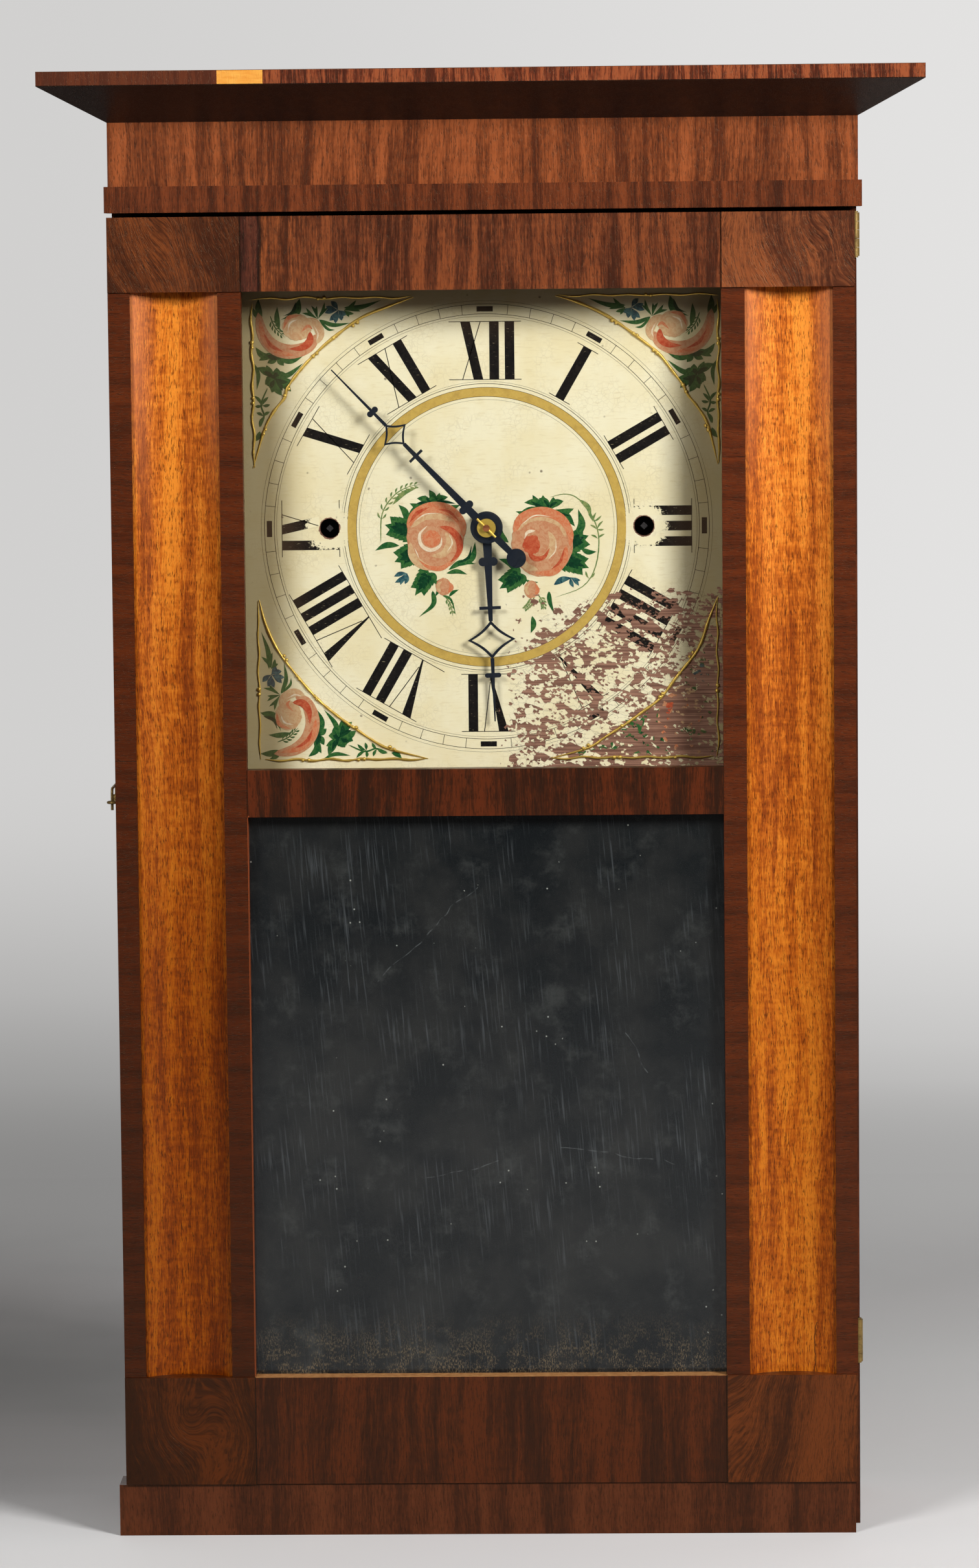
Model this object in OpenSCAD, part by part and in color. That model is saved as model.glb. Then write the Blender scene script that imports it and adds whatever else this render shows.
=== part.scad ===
// Weight-driven shelf clock in a mahogany veneered case: canted cornice, plain frieze,
// one full-width door with hollow pilasters, a wooden movement behind a painted dial.
// +Z is up, the front looks along -Y, and the origin is the middle of the footprint.

/* [Case] */
// Width of the case over its side boards
case_w = 479.4; // [450:0.1:510]
// Overall height of the clock
case_h = 950; // [900:1:1000]
// Depth of the case from the frieze to the back
case_d = 140; // [132:0.5:160]
// Thickness of the side boards
board_t = 13; // [10:0.5:15]
// Thickness of the back board
back_t = 8; // [6:0.5:10]
// Thickness of the top and bottom boards
shelf_t = 12; // [8:0.5:14]
// How far the side boards are rabbeted over the back board's edges
rabbet_w = 6; // [4:0.5:8]

/* [Cornice, frieze and plinth] */
// How far the cornice stands out from the frieze, in front and at the sides
cornice_out = 40.9; // [34:0.1:46]
// Height of the cornice's upright face
fascia_h = 9.3; // [7:0.1:12]
// Height of the cornice's sloping underside
slope_h = 22.2; // [16:0.1:28]
// Width of the wood that the cornice moulding is glued to the top board with
cornice_bed = 24; // [16:1:30]
// Height of the frieze
frieze_h = 40.7; // [34:0.1:48]
// Height of the flat band under the frieze
band_h = 16.8; // [12:0.1:22]
// How far the band stands proud of the frieze
band_out = 2.4; // [1:0.1:4]
// Height of the plinth rail
plinth_h = 33.7; // [28:0.1:42]
// How far the plinth rail stands proud of the case
plinth_out = 0.9; // [0.4:0.1:2]
// How far the plinth rail has crept to the right on the old case
plinth_shift = -4.8; // [-6:0.1:0]

/* [Door] */
// How much narrower the door is than the case
door_less = 1.3; // [0.4:0.1:3]
// Thickness of the door with its facings
door_t = 28; // [26:0.5:30]
// How far the door's face stands in front of the frieze
door_out = 2.9; // [2:0.1:4]
// How far the door has dropped to the right of the case's middle
door_shift = -1.7; // [-2:0.1:0]
// Gap between the door's back and the case
door_gap = 1; // [0.8:0.1:1.4]
// Gap between the band and the top of the door
head_gap = 2.8; // [1.5:0.1:4]
// Gap between the plinth and the bottom of the door
sill_gap = 0.5; // [0.3:0.1:1.5]
// Width of the two glazed openings
open_w = 307.5; // [290:0.5:320]
// Height of the dial opening
dial_open_h = 307.7; // [296:0.1:316]
// Height of the top rail
top_rail_h = 47.9; // [42:0.1:54]
// Height of the rail between the two openings
mid_rail_h = 30.5; // [26:0.1:36]
// Height of the bottom rail
bottom_rail_h = 70.8; // [62:0.1:78]
// Thickness of the stiles behind the facings
stile_t = 12; // [10:0.5:13]
// Length of the rails' tenons
tenon_l = 30; // [20:1:40]
// Thickness of the tenons
tenon_t = 5; // [4:0.5:6]

/* [Pilasters and facings] */
// Width of the strip on the outer edge of the door
outer_strip_w = 14; // [11:0.1:17]
// Width of the strip beside the glass
inner_strip_w = 15; // [12:0.1:18]
// How far the strips lie behind the corner blocks
strip_back = 1.3; // [0.8:0.1:2]
// How far the rails lie behind the corner blocks
rail_back = 0.8; // [0.4:0.1:1.2]
// How far the pilasters' edges lie behind the corner blocks
pilaster_back = 4; // [2:0.5:5]
// Depth of the hollow in the pilasters
cove_depth = 9; // [7:0.25:10]
// Flat lip on each edge of the hollow
cove_lip = 2.2; // [1:0.1:4]

/* [Glass] */
// Depth of the glass behind the door's face
glass_set = 12; // [9:0.5:14]
// Thickness of the glass
glass_t = 2; // [1.5:0.25:3]
// Width of the rabbet that the glass lies in
glass_rabbet = 5; // [4:0.5:7]
// Clearance round the glass
glass_gap = 0.4; // [0.2:0.1:0.8]
// Size of the bead that holds the dial glass
bead = 4; // [3:0.5:4.5]
// Thickness of the board behind the mirror
mirror_back_t = 4; // [3:0.5:6]

/* [Hinges and latch] */
// Height of a hinge
hinge_h = 28; // [22:1:34]
// Knuckles on a hinge
hinge_knuckles = 5; // [3:2:7]
// Radius of a knuckle
hinge_r = 2.8; // [2.4:0.1:3.2]
// Radius of the hinge pin
hinge_pin_r = 1.3; // [1:0.1:1.6]
// Thickness of a hinge leaf
leaf_t = 1.2; // [0.9:0.1:1.5]
// Width of a hinge leaf, from the pin
leaf_w = 12; // [9:0.5:12.5]
// How far the knuckles stand out of the case's side
hinge_proud = 2; // [1.5:0.1:2.5]
// Distance of the hinges from the ends of the door
hinge_inset_top = 1; // [0.5:0.5:30]
// Distance of the lower hinge from the door's foot
hinge_inset_bottom = 74; // [20:1:100]
// Height of the latch above the floor
latch_z = 481; // [380:1:560]
// Wire radius of the latch hook and its eye
wire_r = 0.9; // [0.7:0.05:1.1]
// Radius of the eye's ring to the middle of its wire
eye_r = 2.6; // [2.3:0.1:3.2]
// Height of the hook's bow above the eye
hook_rise = 9; // [7:0.5:11]
// Length of the hook's leg below the eye
hook_drop = 5; // [4:0.5:6]

/* [Dial] */
// Distance of the painted dial behind the door's face
dial_set = 37.5; // [36:0.5:42]
// Thickness of the dial board
dial_t = 8; // [6:0.5:9]
// Gap between the dial board and the side boards
dial_side_gap = 13; // [2:0.5:18]
// How far the dial board runs past the opening at the top and bottom
dial_over_h = 22; // [14:1:30]
// Radius of the winding holes
wind_hole_r = 6.5; // [5:0.25:8]
// Radius of the hole for the hands
centre_hole_r = 7; // [6:0.25:9]

/* [Hands] */
// Length of the minute hand
minute_hand_l = 143; // [130:1:150]
// Length of the hour hand
hour_hand_l = 126; // [100:1:128]
// Thickness of the hands
hand_t = 1.2; // [0.8:0.1:1.6]
// Radius of the hands' hub discs
hub_r = 10; // [8:0.5:12]
// Angle of the minute hand, clockwise from twelve
minute_angle = -44; // [-180:1:180]
// Angle of the hour hand, clockwise from twelve
hour_angle = 178; // [-180:1:180]

/* [Movement] */
// Space between the dial board and the front plate
motion_gap = 17; // [16:0.5:20]
// Thickness of the wooden plates
plate_t = 8; // [7:0.5:9]
// Space between the plates
plate_gap = 48; // [48:0.5:50]
// Width of the plates
plate_w = 324; // [318:1:330]
// Height of the plates
plate_h = 192; // [188:1:210]
// Radius of the wooden arbors
arbor_r = 2.6; // [2.4:0.1:2.8]
// Radius of the steel pivots
pivot_r = 1.3; // [1:0.1:1.6]
// Running clearance of every pivot and sleeve
run = 0.06; // [0.03:0.01:0.09]
// End shake of the arbors between the plates
shake = 0.5; // [0.3:0.1:0.8]
// Radius of the winding drums
drum_r = 14; // [12:0.25:15]
// Radius of the drums' arbors
drum_arbor_r = 6; // [5:0.25:7]
// Radius of the weight cords
cord_r = 1.4; // [1:0.1:1.6]
// Module of the great wheels
m_great = 2.1; // [2.05:0.01:2.15]
// Module of the second wheel of the time train
m_second = 1.8; // [1.78:0.01:1.84]
// Module of the centre wheel
m_centre = 1.15; // [1.12:0.01:1.17]
// Module of the third wheel
m_third = 1; // [0.98:0.01:1.02]
// Module of the motion work behind the dial
m_motion = 1.1; // [1:0.02:1.2]
// Module of the second wheel of the strike train
m_strike_second = 1.4; // [1.38:0.01:1.42]
// Module of the pin wheel
m_pin = 1.3; // [1.28:0.01:1.34]
// Module of the warning wheel
m_warning = 1.1; // [1.08:0.01:1.12]
// Module of the count wheel's gear
m_count = 1.6; // [1.5:0.02:1.7]
// Radius of the escape wheel
escape_r = 28; // [27:0.25:29]
// Height of the verge above the escape wheel's arbor
verge_rise = 36; // [35:0.25:37]

/* [Pendulum, weights and bell] */
// Length of the pendulum from its spring to the bob's middle
pendulum_l = 352; // [330:1:370]
// Radius of the pendulum bob
bob_r = 26; // [20:1:30]
// Thickness of the bob
bob_t = 12; // [8:1:14]
// Radius of the pendulum rod
rod_r = 1.2; // [0.9:0.1:1.5]
// Radius of a weight
weight_r = 23; // [20:0.5:24]
// Height of a weight
weight_h = 130; // [100:1:150]
// Distance of the weights behind the plates' front
weight_back = 30; // [27:0.5:32]
// Height of a hanging weight above the case's floor when run down
weight_lift = 18; // [16:1:24]
// Radius of a pulley to the middle of its cord
pulley_r = 12; // [10:0.25:13]
// Radius of the bell
bell_r = 38; // [32:0.5:40]
// Length of the hammer's wire below its arbor
hammer_l = 98; // [92:1:104]

/* [Hidden] */
$fn = 48;
mm_cut = 1;
bore_slack = 0.02;

// Depths, from the front to the back
frieze_y = (cornice_out - case_d) / 2;
back_y = (cornice_out + case_d) / 2;
door_y = frieze_y - door_out;
door_back_y = door_y + door_t;
box_y = door_back_y + door_gap;
facing_back_y = door_back_y - stile_t;
glass_y = door_y + glass_set;
dial_y = door_y + dial_set;
dial_back_y = dial_y + dial_t;
plate_y = dial_back_y + motion_gap;
inside_y = plate_y + plate_t;
back_plate_y = inside_y + plate_gap;
movement_back_y = back_plate_y + plate_t;
wall_y = back_y - back_t;

// Heights
cornice_z = case_h - fascia_h - slope_h;
frieze_z = cornice_z - frieze_h;
band_z = frieze_z - band_h;
door_top_z = band_z - head_gap;
door_z = plinth_h + sill_gap;
dial_top_z = door_top_z - top_rail_h;
dial_low_z = dial_top_z - dial_open_h;
mirror_top_z = dial_low_z - mid_rail_h;
mirror_low_z = door_z + bottom_rail_h;
hands_z = (dial_top_z + dial_low_z) / 2;

// Widths
inner_x = case_w / 2 - board_t;
door_w = case_w - door_less;
weight_x = (plate_w / 2 + inner_x) / 2;
open_x = open_w / 2;
block_w = door_w / 2 - open_x;

module box(x0, x1, y0, y1, z0, z1) {
  translate([x0, y0, z0]) cube([x1 - x0, y1 - y0, z1 - z0]);
}

// The same shape on the right and on the left
module pair() {
  children();
  mirror([1, 0, 0]) children();
}

// Stands a flat outline up, facing the front: its x stays, its y becomes height
module upright(x, y_back, z, t) {
  translate([x, y_back, z]) rotate([90, 0, 0]) linear_extrude(t) children();
}

// A round bar along the depth, between two depths
module bar(x, z, r, y0, y1, sides = 48) {
  translate([x, y0, z]) rotate([-90, 0, 0]) cylinder(r = r, h = y1 - y0, $fn = sides);
}

// ---------------------------------------------------------------- case

module side_boards() {
  color("saddlebrown") difference() {
    pair() box(inner_x, case_w / 2, box_y, back_y, 0, cornice_z);
    pair() box(inner_x - mm_cut, inner_x + rabbet_w, wall_y, back_y + mm_cut, -mm_cut,
               cornice_z + mm_cut);
    for (z = hinge_zs()) {
      hinge_relief(z);
      translate([hinge_x() - leaf_w, 0, z])
        box(0, leaf_w + mm_cut, box_y - mm_cut, leaf_case_y() + leaf_t, 0, hinge_h);
    }
    translate([-case_w / 2 - mm_cut, latch_y, latch_z]) rotate([0, 90, 0])
      cylinder(r = screw_r, h = latch_bury + mm_cut);
  }
}

module back_board() {
  color("tan") box(-inner_x - rabbet_w, inner_x + rabbet_w, wall_y, back_y, 0, cornice_z);
}

module bottom_board() {
  color("tan")
    box(-inner_x, inner_x, box_y, wall_y, plinth_h - shelf_t, plinth_h);
}

// Board that closes the case and backs the cornice
module top_board() {
  bed_x = case_w / 2 - cornice_bed;
  color("tan") union() {
    box(-inner_x, inner_x, box_y, wall_y, cornice_z - shelf_t, cornice_z);
    box(-bed_x, bed_x, frieze_y + cornice_bed, back_y, cornice_z, case_h - fascia_h);
  }
}

// Cross-section of the cornice: x points out of the case, y up, from the frieze's top edge
module cornice_profile() {
  polygon([[-cornice_bed, 0], [0, 0], [cornice_out, slope_h],
           [cornice_out, slope_h + fascia_h], [-cornice_bed, slope_h + fascia_h]]);
}

// Front moulding mitred to the two returns, which run to the back
module cornice_mouldings() {
  long = case_w + 2 * cornice_out + 2 * mm_cut;
  reach = cornice_out + cornice_bed + mm_cut;
  corner_x = case_w / 2;
  joint = 0.05;
  color("saddlebrown") {
    difference() {
      translate([-long / 2, frieze_y, cornice_z]) rotate([90, 0, 90]) mirror([1, 0, 0])
        linear_extrude(long) cornice_profile();
      pair() translate([corner_x, frieze_y, cornice_z - mm_cut])
        linear_extrude(slope_h + fascia_h + 2 * mm_cut)
          polygon([[-reach - joint, reach], [reach - joint, -reach], [reach, reach]]);
    }
    pair() difference() {
      translate([corner_x, back_y, cornice_z]) rotate([90, 0, 0])
        linear_extrude(case_d + cornice_out + mm_cut) cornice_profile();
      translate([corner_x, frieze_y, cornice_z - mm_cut])
        linear_extrude(slope_h + fascia_h + 2 * mm_cut)
          polygon([[-reach + joint, reach], [-reach, -reach], [reach + joint, -reach]]);
    }
  }
}

module frieze() {
  color("sienna") box(-case_w / 2, case_w / 2, frieze_y, box_y, frieze_z, cornice_z);
}

module frieze_band() {
  half = case_w / 2 + band_out;
  color("saddlebrown") box(-half, half, frieze_y - band_out, box_y, band_z, frieze_z);
}

module plinth_rail() {
  half = case_w / 2 + plinth_out;
  color("saddlebrown")
    box(plinth_shift - half, plinth_shift + half, frieze_y - plinth_out, box_y, 0, plinth_h);
}

// Rails that the movement is pegged to, cleats that carry the dial, and glue blocks
seat_h = 22;
seat_drop = 52;
cleat_w = 20;
cleat_t = 15;
glue_size = 14;
glue_l = 60;
peg_r = 3;
peg_x = 125;
function peg_places() = [for (x = [-peg_x, peg_x]) for (z = [-seat_drop, seat_drop]) [x, z]];
module inner_rails() {
  color("burlywood") {
    difference() {
      for (side = [-1, 1]) translate([0, 0, hands_z + side * seat_drop])
        box(-inner_x, inner_x, movement_back_y, wall_y, -seat_h / 2, seat_h / 2);
      for (p = peg_places()) at(p)
        bar(0, 0, peg_r + seat_slack, movement_back_y - mm_cut, wall_y + mm_cut);
    }
    pair() box(inner_x - cleat_w, inner_x, dial_back_y, dial_back_y + cleat_t,
               dial_low_z - dial_over_h, dial_top_z + dial_over_h);
    for (x = [-1, 1]) for (z = [plinth_h, cornice_z - shelf_t - glue_size])
      translate([x * (inner_x - glue_size / 2), wall_y - glue_l - glue_size, z])
        box(-glue_size / 2, glue_size / 2, 0, glue_l, 0, glue_size);
  }
}

module dial_board() {
  half = inner_x - dial_side_gap;
  color("antiquewhite") difference() {
    box(-half, half, dial_y, dial_back_y, dial_low_z - dial_over_h,
        dial_top_z + dial_over_h);
    bar(0, hands_z, centre_hole_r, dial_y - mm_cut, dial_back_y + mm_cut);
    pair() bar(wind_x, hands_z, wind_hole_r, dial_y - mm_cut, dial_back_y + mm_cut);
  }
}

// ---------------------------------------------------------------- hinges and latch

function hinge_x() = case_w / 2 + hinge_proud - hinge_r;
function hinge_y() = door_back_y + door_gap / 2;
function hinge_zs() = [door_z + hinge_inset_bottom, door_top_z - hinge_inset_top - hinge_h];
hinge_slack = 0.05;
function leaf_case_y() = hinge_y() + hinge_slack;
function leaf_door_y() = hinge_y() - hinge_slack - leaf_t;
relief_gap = 0.4;
pin_head = 0.8;
pin_play = 0.05;

// Round pocket in the wood for the knuckles
module hinge_relief(z) {
  past = pin_head + pin_play + relief_gap;
  translate([hinge_x(), hinge_y(), z - past])
    cylinder(r = hinge_r + relief_gap, h = hinge_h + 2 * past);
}

// One leaf with its own knuckles, every second one counted from first
module hinge_leaf(plate_y0, first) {
  knuckle_h = hinge_h / hinge_knuckles;
  knuckle_gap = 0.12;
  difference() {
    union() {
      box(-leaf_w, -hinge_r - relief_gap / 2, plate_y0, plate_y0 + leaf_t, 0, hinge_h);
      for (k = [first : 2 : hinge_knuckles - 1])
        translate([0, 0, k * knuckle_h + knuckle_gap / 2]) {
          cylinder(r = hinge_r, h = knuckle_h - knuckle_gap);
          box(-hinge_r - relief_gap, 0, plate_y0, plate_y0 + leaf_t, 0,
              knuckle_h - knuckle_gap);
        }
    }
    translate([0, 0, -mm_cut])
      cylinder(r = hinge_pin_r + run, h = hinge_h + 2 * mm_cut);
  }
}

module hinge_case_leaves() {
  color("goldenrod") for (z = hinge_zs()) translate([hinge_x(), hinge_y(), z])
    hinge_leaf(leaf_case_y() - hinge_y(), 0);
  color("darkgoldenrod") hinge_pins();
}

module hinge_door_leaves() {
  color("goldenrod") for (z = hinge_zs()) translate([hinge_x(), hinge_y(), z])
    hinge_leaf(leaf_door_y() - hinge_y(), 1);
}

// Headed pins, a hair longer than the knuckles
module hinge_pins() {
  for (z = hinge_zs()) translate([hinge_x(), hinge_y(), z]) {
    translate([0, 0, -pin_play]) cylinder(r = hinge_pin_r, h = hinge_h + 2 * pin_play);
    for (end = [-pin_head - pin_play, hinge_h + pin_play]) translate([0, 0, end])
      cylinder(r = hinge_pin_r * 1.5, h = pin_head);
  }
}

// The hook hangs on a screw in the case's side and drops into an eye in the door's edge
eye_gap = 0.05;
latch_x = door_shift - door_w / 2 - eye_r - wire_r - eye_gap;
latch_y = box_y + 17;
eye_y = door_back_y - 12;
screw_r = 1.3;
function hook_l() = latch_y - eye_y;

module latch_eye() {
  color("darkslategray") translate([latch_x, eye_y, latch_z]) {
    rotate_extrude() translate([eye_r, 0]) circle(r = wire_r);
    translate([eye_r, 0, 0]) rotate([0, 90, 0]) cylinder(r = wire_r, h = eye_bury);
  }
}
eye_bury = 10;

// Hole in the door's edge for the eye's shank
module eye_hole() {
  translate([latch_x - door_shift + eye_r, eye_y, latch_z]) rotate([0, 90, 0])
    cylinder(r = wire_r + bore_slack, h = eye_bury + bore_slack);
}

module latch_screw() {
  side_x = -case_w / 2;
  hook_half = wire_r + run;
  head_t = 1.6;
  collar_r = 2.4;
  color("darkslategray") translate([0, latch_y, latch_z]) rotate([0, -90, 0]) {
    translate([0, 0, -side_x - latch_bury])
      cylinder(r = screw_r, h = latch_bury + side_x - latch_x + hook_half);
    translate([0, 0, -side_x]) cylinder(r = collar_r, h = side_x - latch_x - hook_half);
    translate([0, 0, -latch_x + hook_half]) cylinder(r = collar_r, h = head_t);
  }
}
latch_bury = 9;

// Wire hook in one upright plane: loop on the screw, riser, bow and leg in the eye
bend_r = 3.4;
module latch_hook() {
  loop_r = screw_r + run + wire_r;
  bar_l = hook_l() - 2 * bend_r;
  color("darkslategray") translate([latch_x, latch_y, latch_z]) {
    rotate([0, 90, 0]) difference() {
      translate([0, 0, -wire_r]) cylinder(r = loop_r + wire_r, h = 2 * wire_r);
      translate([0, 0, -wire_r - mm_cut])
        cylinder(r = screw_r + run, h = 2 * wire_r + 2 * mm_cut);
    }
    translate([0, 0, loop_r]) cylinder(r = wire_r, h = hook_rise - bend_r - loop_r, $fn = 24);
    translate([0, -bend_r, hook_rise - bend_r]) wire_bend(0);
    translate([0, -bend_r, hook_rise]) rotate([90, 0, 0])
      cylinder(r = wire_r, h = bar_l, $fn = 24);
    translate([0, -hook_l() + bend_r, hook_rise - bend_r]) wire_bend(90);
    translate([0, -hook_l(), -hook_drop])
      cylinder(r = wire_r, h = hook_drop + hook_rise - bend_r, $fn = 24);
  }
}

// A quarter turn of the wire in the plane x = 0
module wire_bend(from) {
  rotate([90, 0, 90]) rotate([0, 0, from]) rotate_extrude(angle = 90)
    translate([bend_r, 0]) circle(r = wire_r, $fn = 24);
}

// ---------------------------------------------------------------- door

module door_place() {
  translate([door_shift, 0, 0]) children();
}

rail_core_y = door_y + rail_back;
tenon_y = door_back_y - (stile_t + tenon_t) / 2;
shoulder = 8;
slim_shoulder = 6;

// A tenon of a rail between two heights
module tenons(z0, z1) {
  pair() box(open_x + glass_rabbet, open_x + glass_rabbet + tenon_l, tenon_y,
             tenon_y + tenon_t, z0 + shoulder, z1 - shoulder);
}

// Upright members behind the facings, with mortises for the rails
module door_stiles() {
  color("peru") door_place() difference() {
    pair() box(open_x + glass_rabbet, door_w / 2, facing_back_y, door_back_y, door_z,
               door_top_z);
    tenons(dial_top_z + glass_rabbet, door_top_z);
    tenons(mirror_top_z - slim_shoulder, dial_low_z + slim_shoulder);
    tenons(door_z, mirror_low_z - glass_rabbet);
    for (z = hinge_zs()) translate([-door_shift, 0, 0]) {
      hinge_relief(z);
      box(hinge_x() - leaf_w, hinge_x(), leaf_door_y(), door_back_y + mm_cut, z,
          z + hinge_h);
    }
    eye_hole();
  }
}

// A rail between the glazed openings, rabbeted for the glass above and below
module rail(z0, z1, cut_low, cut_high) {
  difference() {
    box(-open_x, open_x, rail_core_y, door_back_y, z0, z1);
    if (cut_low) box(-open_x - mm_cut, open_x + mm_cut, glass_y, door_back_y + mm_cut,
                     z0 - mm_cut, z0 + glass_rabbet);
    if (cut_high) box(-open_x - mm_cut, open_x + mm_cut, glass_y, door_back_y + mm_cut,
                      z1 - glass_rabbet, z1 + mm_cut);
  }
}

module rail_ends(z0, z1) {
  pair() box(open_x, open_x + glass_rabbet, facing_back_y, door_back_y, z0, z1);
}

module door_rail_top() {
  color("sienna") door_place() union() {
    rail(dial_top_z, door_top_z, true, false);
    rail_ends(dial_top_z + glass_rabbet, door_top_z);
    tenons(dial_top_z + glass_rabbet, door_top_z);
  }
}

module door_rail_middle() {
  color("sienna") door_place() union() {
    rail(mirror_top_z, dial_low_z, true, true);
    rail_ends(mirror_top_z + glass_rabbet, dial_low_z - glass_rabbet);
    tenons(mirror_top_z - slim_shoulder, dial_low_z + slim_shoulder);
  }
}

module door_rail_bottom() {
  color("sienna") door_place() union() {
    rail(door_z, mirror_low_z, false, true);
    rail_ends(door_z, mirror_low_z - glass_rabbet);
    tenons(door_z, mirror_low_z - glass_rabbet);
  }
}

// Hollow-fronted pilasters between the corner blocks
module pilasters() {
  x0 = open_x + inner_strip_w;
  x1 = door_w / 2 - outer_strip_w;
  front = door_y + pilaster_back;
  half = (x1 - x0) / 2 - cove_lip;
  cove_r = (half * half + cove_depth * cove_depth) / (2 * cove_depth);
  color("darkgoldenrod") door_place() pair() difference() {
    box(x0, x1, front, facing_back_y, mirror_low_z, dial_top_z);
    translate([(x0 + x1) / 2, front + cove_depth - cove_r, mirror_low_z - mm_cut])
      cylinder(r = cove_r, h = dial_top_z - mirror_low_z + 2 * mm_cut, $fn = 128);
  }
}

// Flat strips at both edges of each pilaster; the inner ones hold the glass
module edge_strips() {
  front = door_y + strip_back;
  color("maroon") door_place() difference() {
    pair() {
      box(open_x, open_x + inner_strip_w, front, facing_back_y, mirror_low_z, dial_top_z);
      box(door_w / 2 - outer_strip_w, door_w / 2, front, facing_back_y, mirror_low_z,
          dial_top_z);
    }
    pair() box(open_x - mm_cut, open_x + glass_rabbet, glass_y, facing_back_y + mm_cut,
               mirror_low_z - mm_cut, dial_top_z + mm_cut);
    eye_hole();
  }
}

// Four blocks, notched behind for the corners of the glass
module corner_blocks() {
  color("sienna") door_place() pair() difference() {
    union() {
      box(open_x, door_w / 2, door_y, facing_back_y, dial_top_z, door_top_z);
      box(open_x, door_w / 2, door_y, facing_back_y, door_z, mirror_low_z);
    }
    box(open_x - mm_cut, open_x + glass_rabbet, glass_y, facing_back_y + mm_cut,
        mirror_low_z - glass_rabbet, dial_top_z + glass_rabbet);
  }
}

// A pane that fills the rabbets round an opening
module pane(y0, t, z0, z1, slack) {
  half = open_x + glass_rabbet - slack;
  box(-half, half, y0, y0 + t, z0 - glass_rabbet + slack, z1 + glass_rabbet - slack);
}

module dial_glass() {
  color("lightcyan") door_place() pane(glass_y, glass_t, dial_low_z, dial_top_z, glass_gap);
}

module dial_glass_bead() {
  color("tan") door_place() difference() {
    pane(glass_y + glass_t, bead, dial_low_z, dial_top_z, 0.1);
    pane(glass_y + glass_t - mm_cut, bead + 2 * mm_cut, dial_low_z, dial_top_z, bead);
  }
}

module mirror_glass() {
  color("darkslategray") door_place()
    pane(glass_y, glass_t, mirror_low_z, mirror_top_z, glass_gap);
}

module mirror_back() {
  color("tan") door_place()
    pane(glass_y + glass_t, mirror_back_t, mirror_low_z, mirror_top_z, glass_gap);
}

// ---------------------------------------------------------------- wheels

// Teeth on each wheel and leaves on each pinion
great_n = 48;
second_n = 40;
centre_n = 64;
third_n = 72;
escape_n = 42;
leaves = 8;
cannon_n = 10;
minute_n = 30;
hour_n = 32;
strike_second_n = 52;
pin_n = 40;
warning_n = 48;
count_n = 24;
count_leaves = 10;
strike_pins = 5;

function spread(m, a, b) = m * (a + b) / 2;
function polar(r, a) = [r * cos(a), r * sin(a)];

// Places of the arbors, measured from the middle of the dial
wind_x = spread(m_second, second_n, leaves) + spread(m_great, great_n, leaves);
at_centre = [0, 0];
at_second = [spread(m_second, second_n, leaves), 0];
at_great = [wind_x, 0];
at_third = [0, spread(m_centre, centre_n, leaves)];
at_escape = at_third + [spread(m_third, third_n, leaves), 0];
at_verge = at_escape + [0, verge_rise];
minute_dir = -60;
at_minute = polar(spread(m_motion, cannon_n, minute_n), minute_dir);
at_strike_great = [-wind_x, 0];
at_strike_second = at_strike_great + [spread(m_great, great_n, leaves), 0];
at_pin = at_strike_second - [0, spread(m_strike_second, strike_second_n, leaves)];
warning_dir = -30;
at_warning = at_pin + polar(spread(m_pin, pin_n, leaves), warning_dir);
at_fly = at_warning + [spread(m_warning, warning_n, leaves), 0];
at_count = at_strike_second + [0, spread(m_count, count_n, count_leaves)];
hammer_side = -36.8;
hammer_low = -22;
at_hammer = at_pin + [hammer_side, hammer_low];

// Outline of a wheel: pointed cycloid-like teeth, one of them at the angle turn
module wheel_outline(n, m, turn) {
  p = 360 / n;
  r = n * m / 2;
  flank = 0.22 * p;
  tip = 0.05 * p;
  polygon([for (i = [0 : n - 1]) each [
    polar(r - 1.3 * m, turn + i * p - flank), polar(r, turn + i * p - flank),
    polar(r + m, turn + i * p - tip), polar(r + m, turn + i * p + tip),
    polar(r, turn + i * p + flank), polar(r - 1.3 * m, turn + i * p + flank)]]);
}

// Outline of a pinion with a gap at the angle turn
module pinion_outline(n, m, turn) {
  p = 360 / n;
  r = n * m / 2;
  flank = 0.19 * p;
  tip = 0.07 * p;
  polygon([for (i = [0 : n - 1]) let (a = turn + (i + 0.5) * p) each [
    polar(r - 1.3 * m, a - flank), polar(r, a - flank),
    polar(r + 0.55 * m, a - tip), polar(r + 0.55 * m, a + tip),
    polar(r, a + flank), polar(r - 1.3 * m, a + flank)]]);
}

function angle_to(a, b) = atan2(b[1] - a[1], b[0] - a[0]);

// The twelve-sided wooden arbors and the holes that sit on them
arbor_sides = 12;
seat_slack = 0.02;
function around(r) = r / cos(180 / arbor_sides);

module at(p) {
  translate([p[0], 0, hands_z + p[1]]) children();
}

module stand(y_back, t) {
  translate([0, y_back, 0]) rotate([90, 0, 0]) linear_extrude(t) children();
}

// A toothed wheel seated on the arbor, from the depth y0 inwards
module wheel(p, to, n, m, y0, t, hole) {
  at(p) difference() {
    stand(y0 + t, t) wheel_outline(n, m, angle_to(p, to));
    bar(0, 0, around(hole + seat_slack), y0 - mm_cut, y0 + t + mm_cut, arbor_sides);
  }
}

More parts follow.
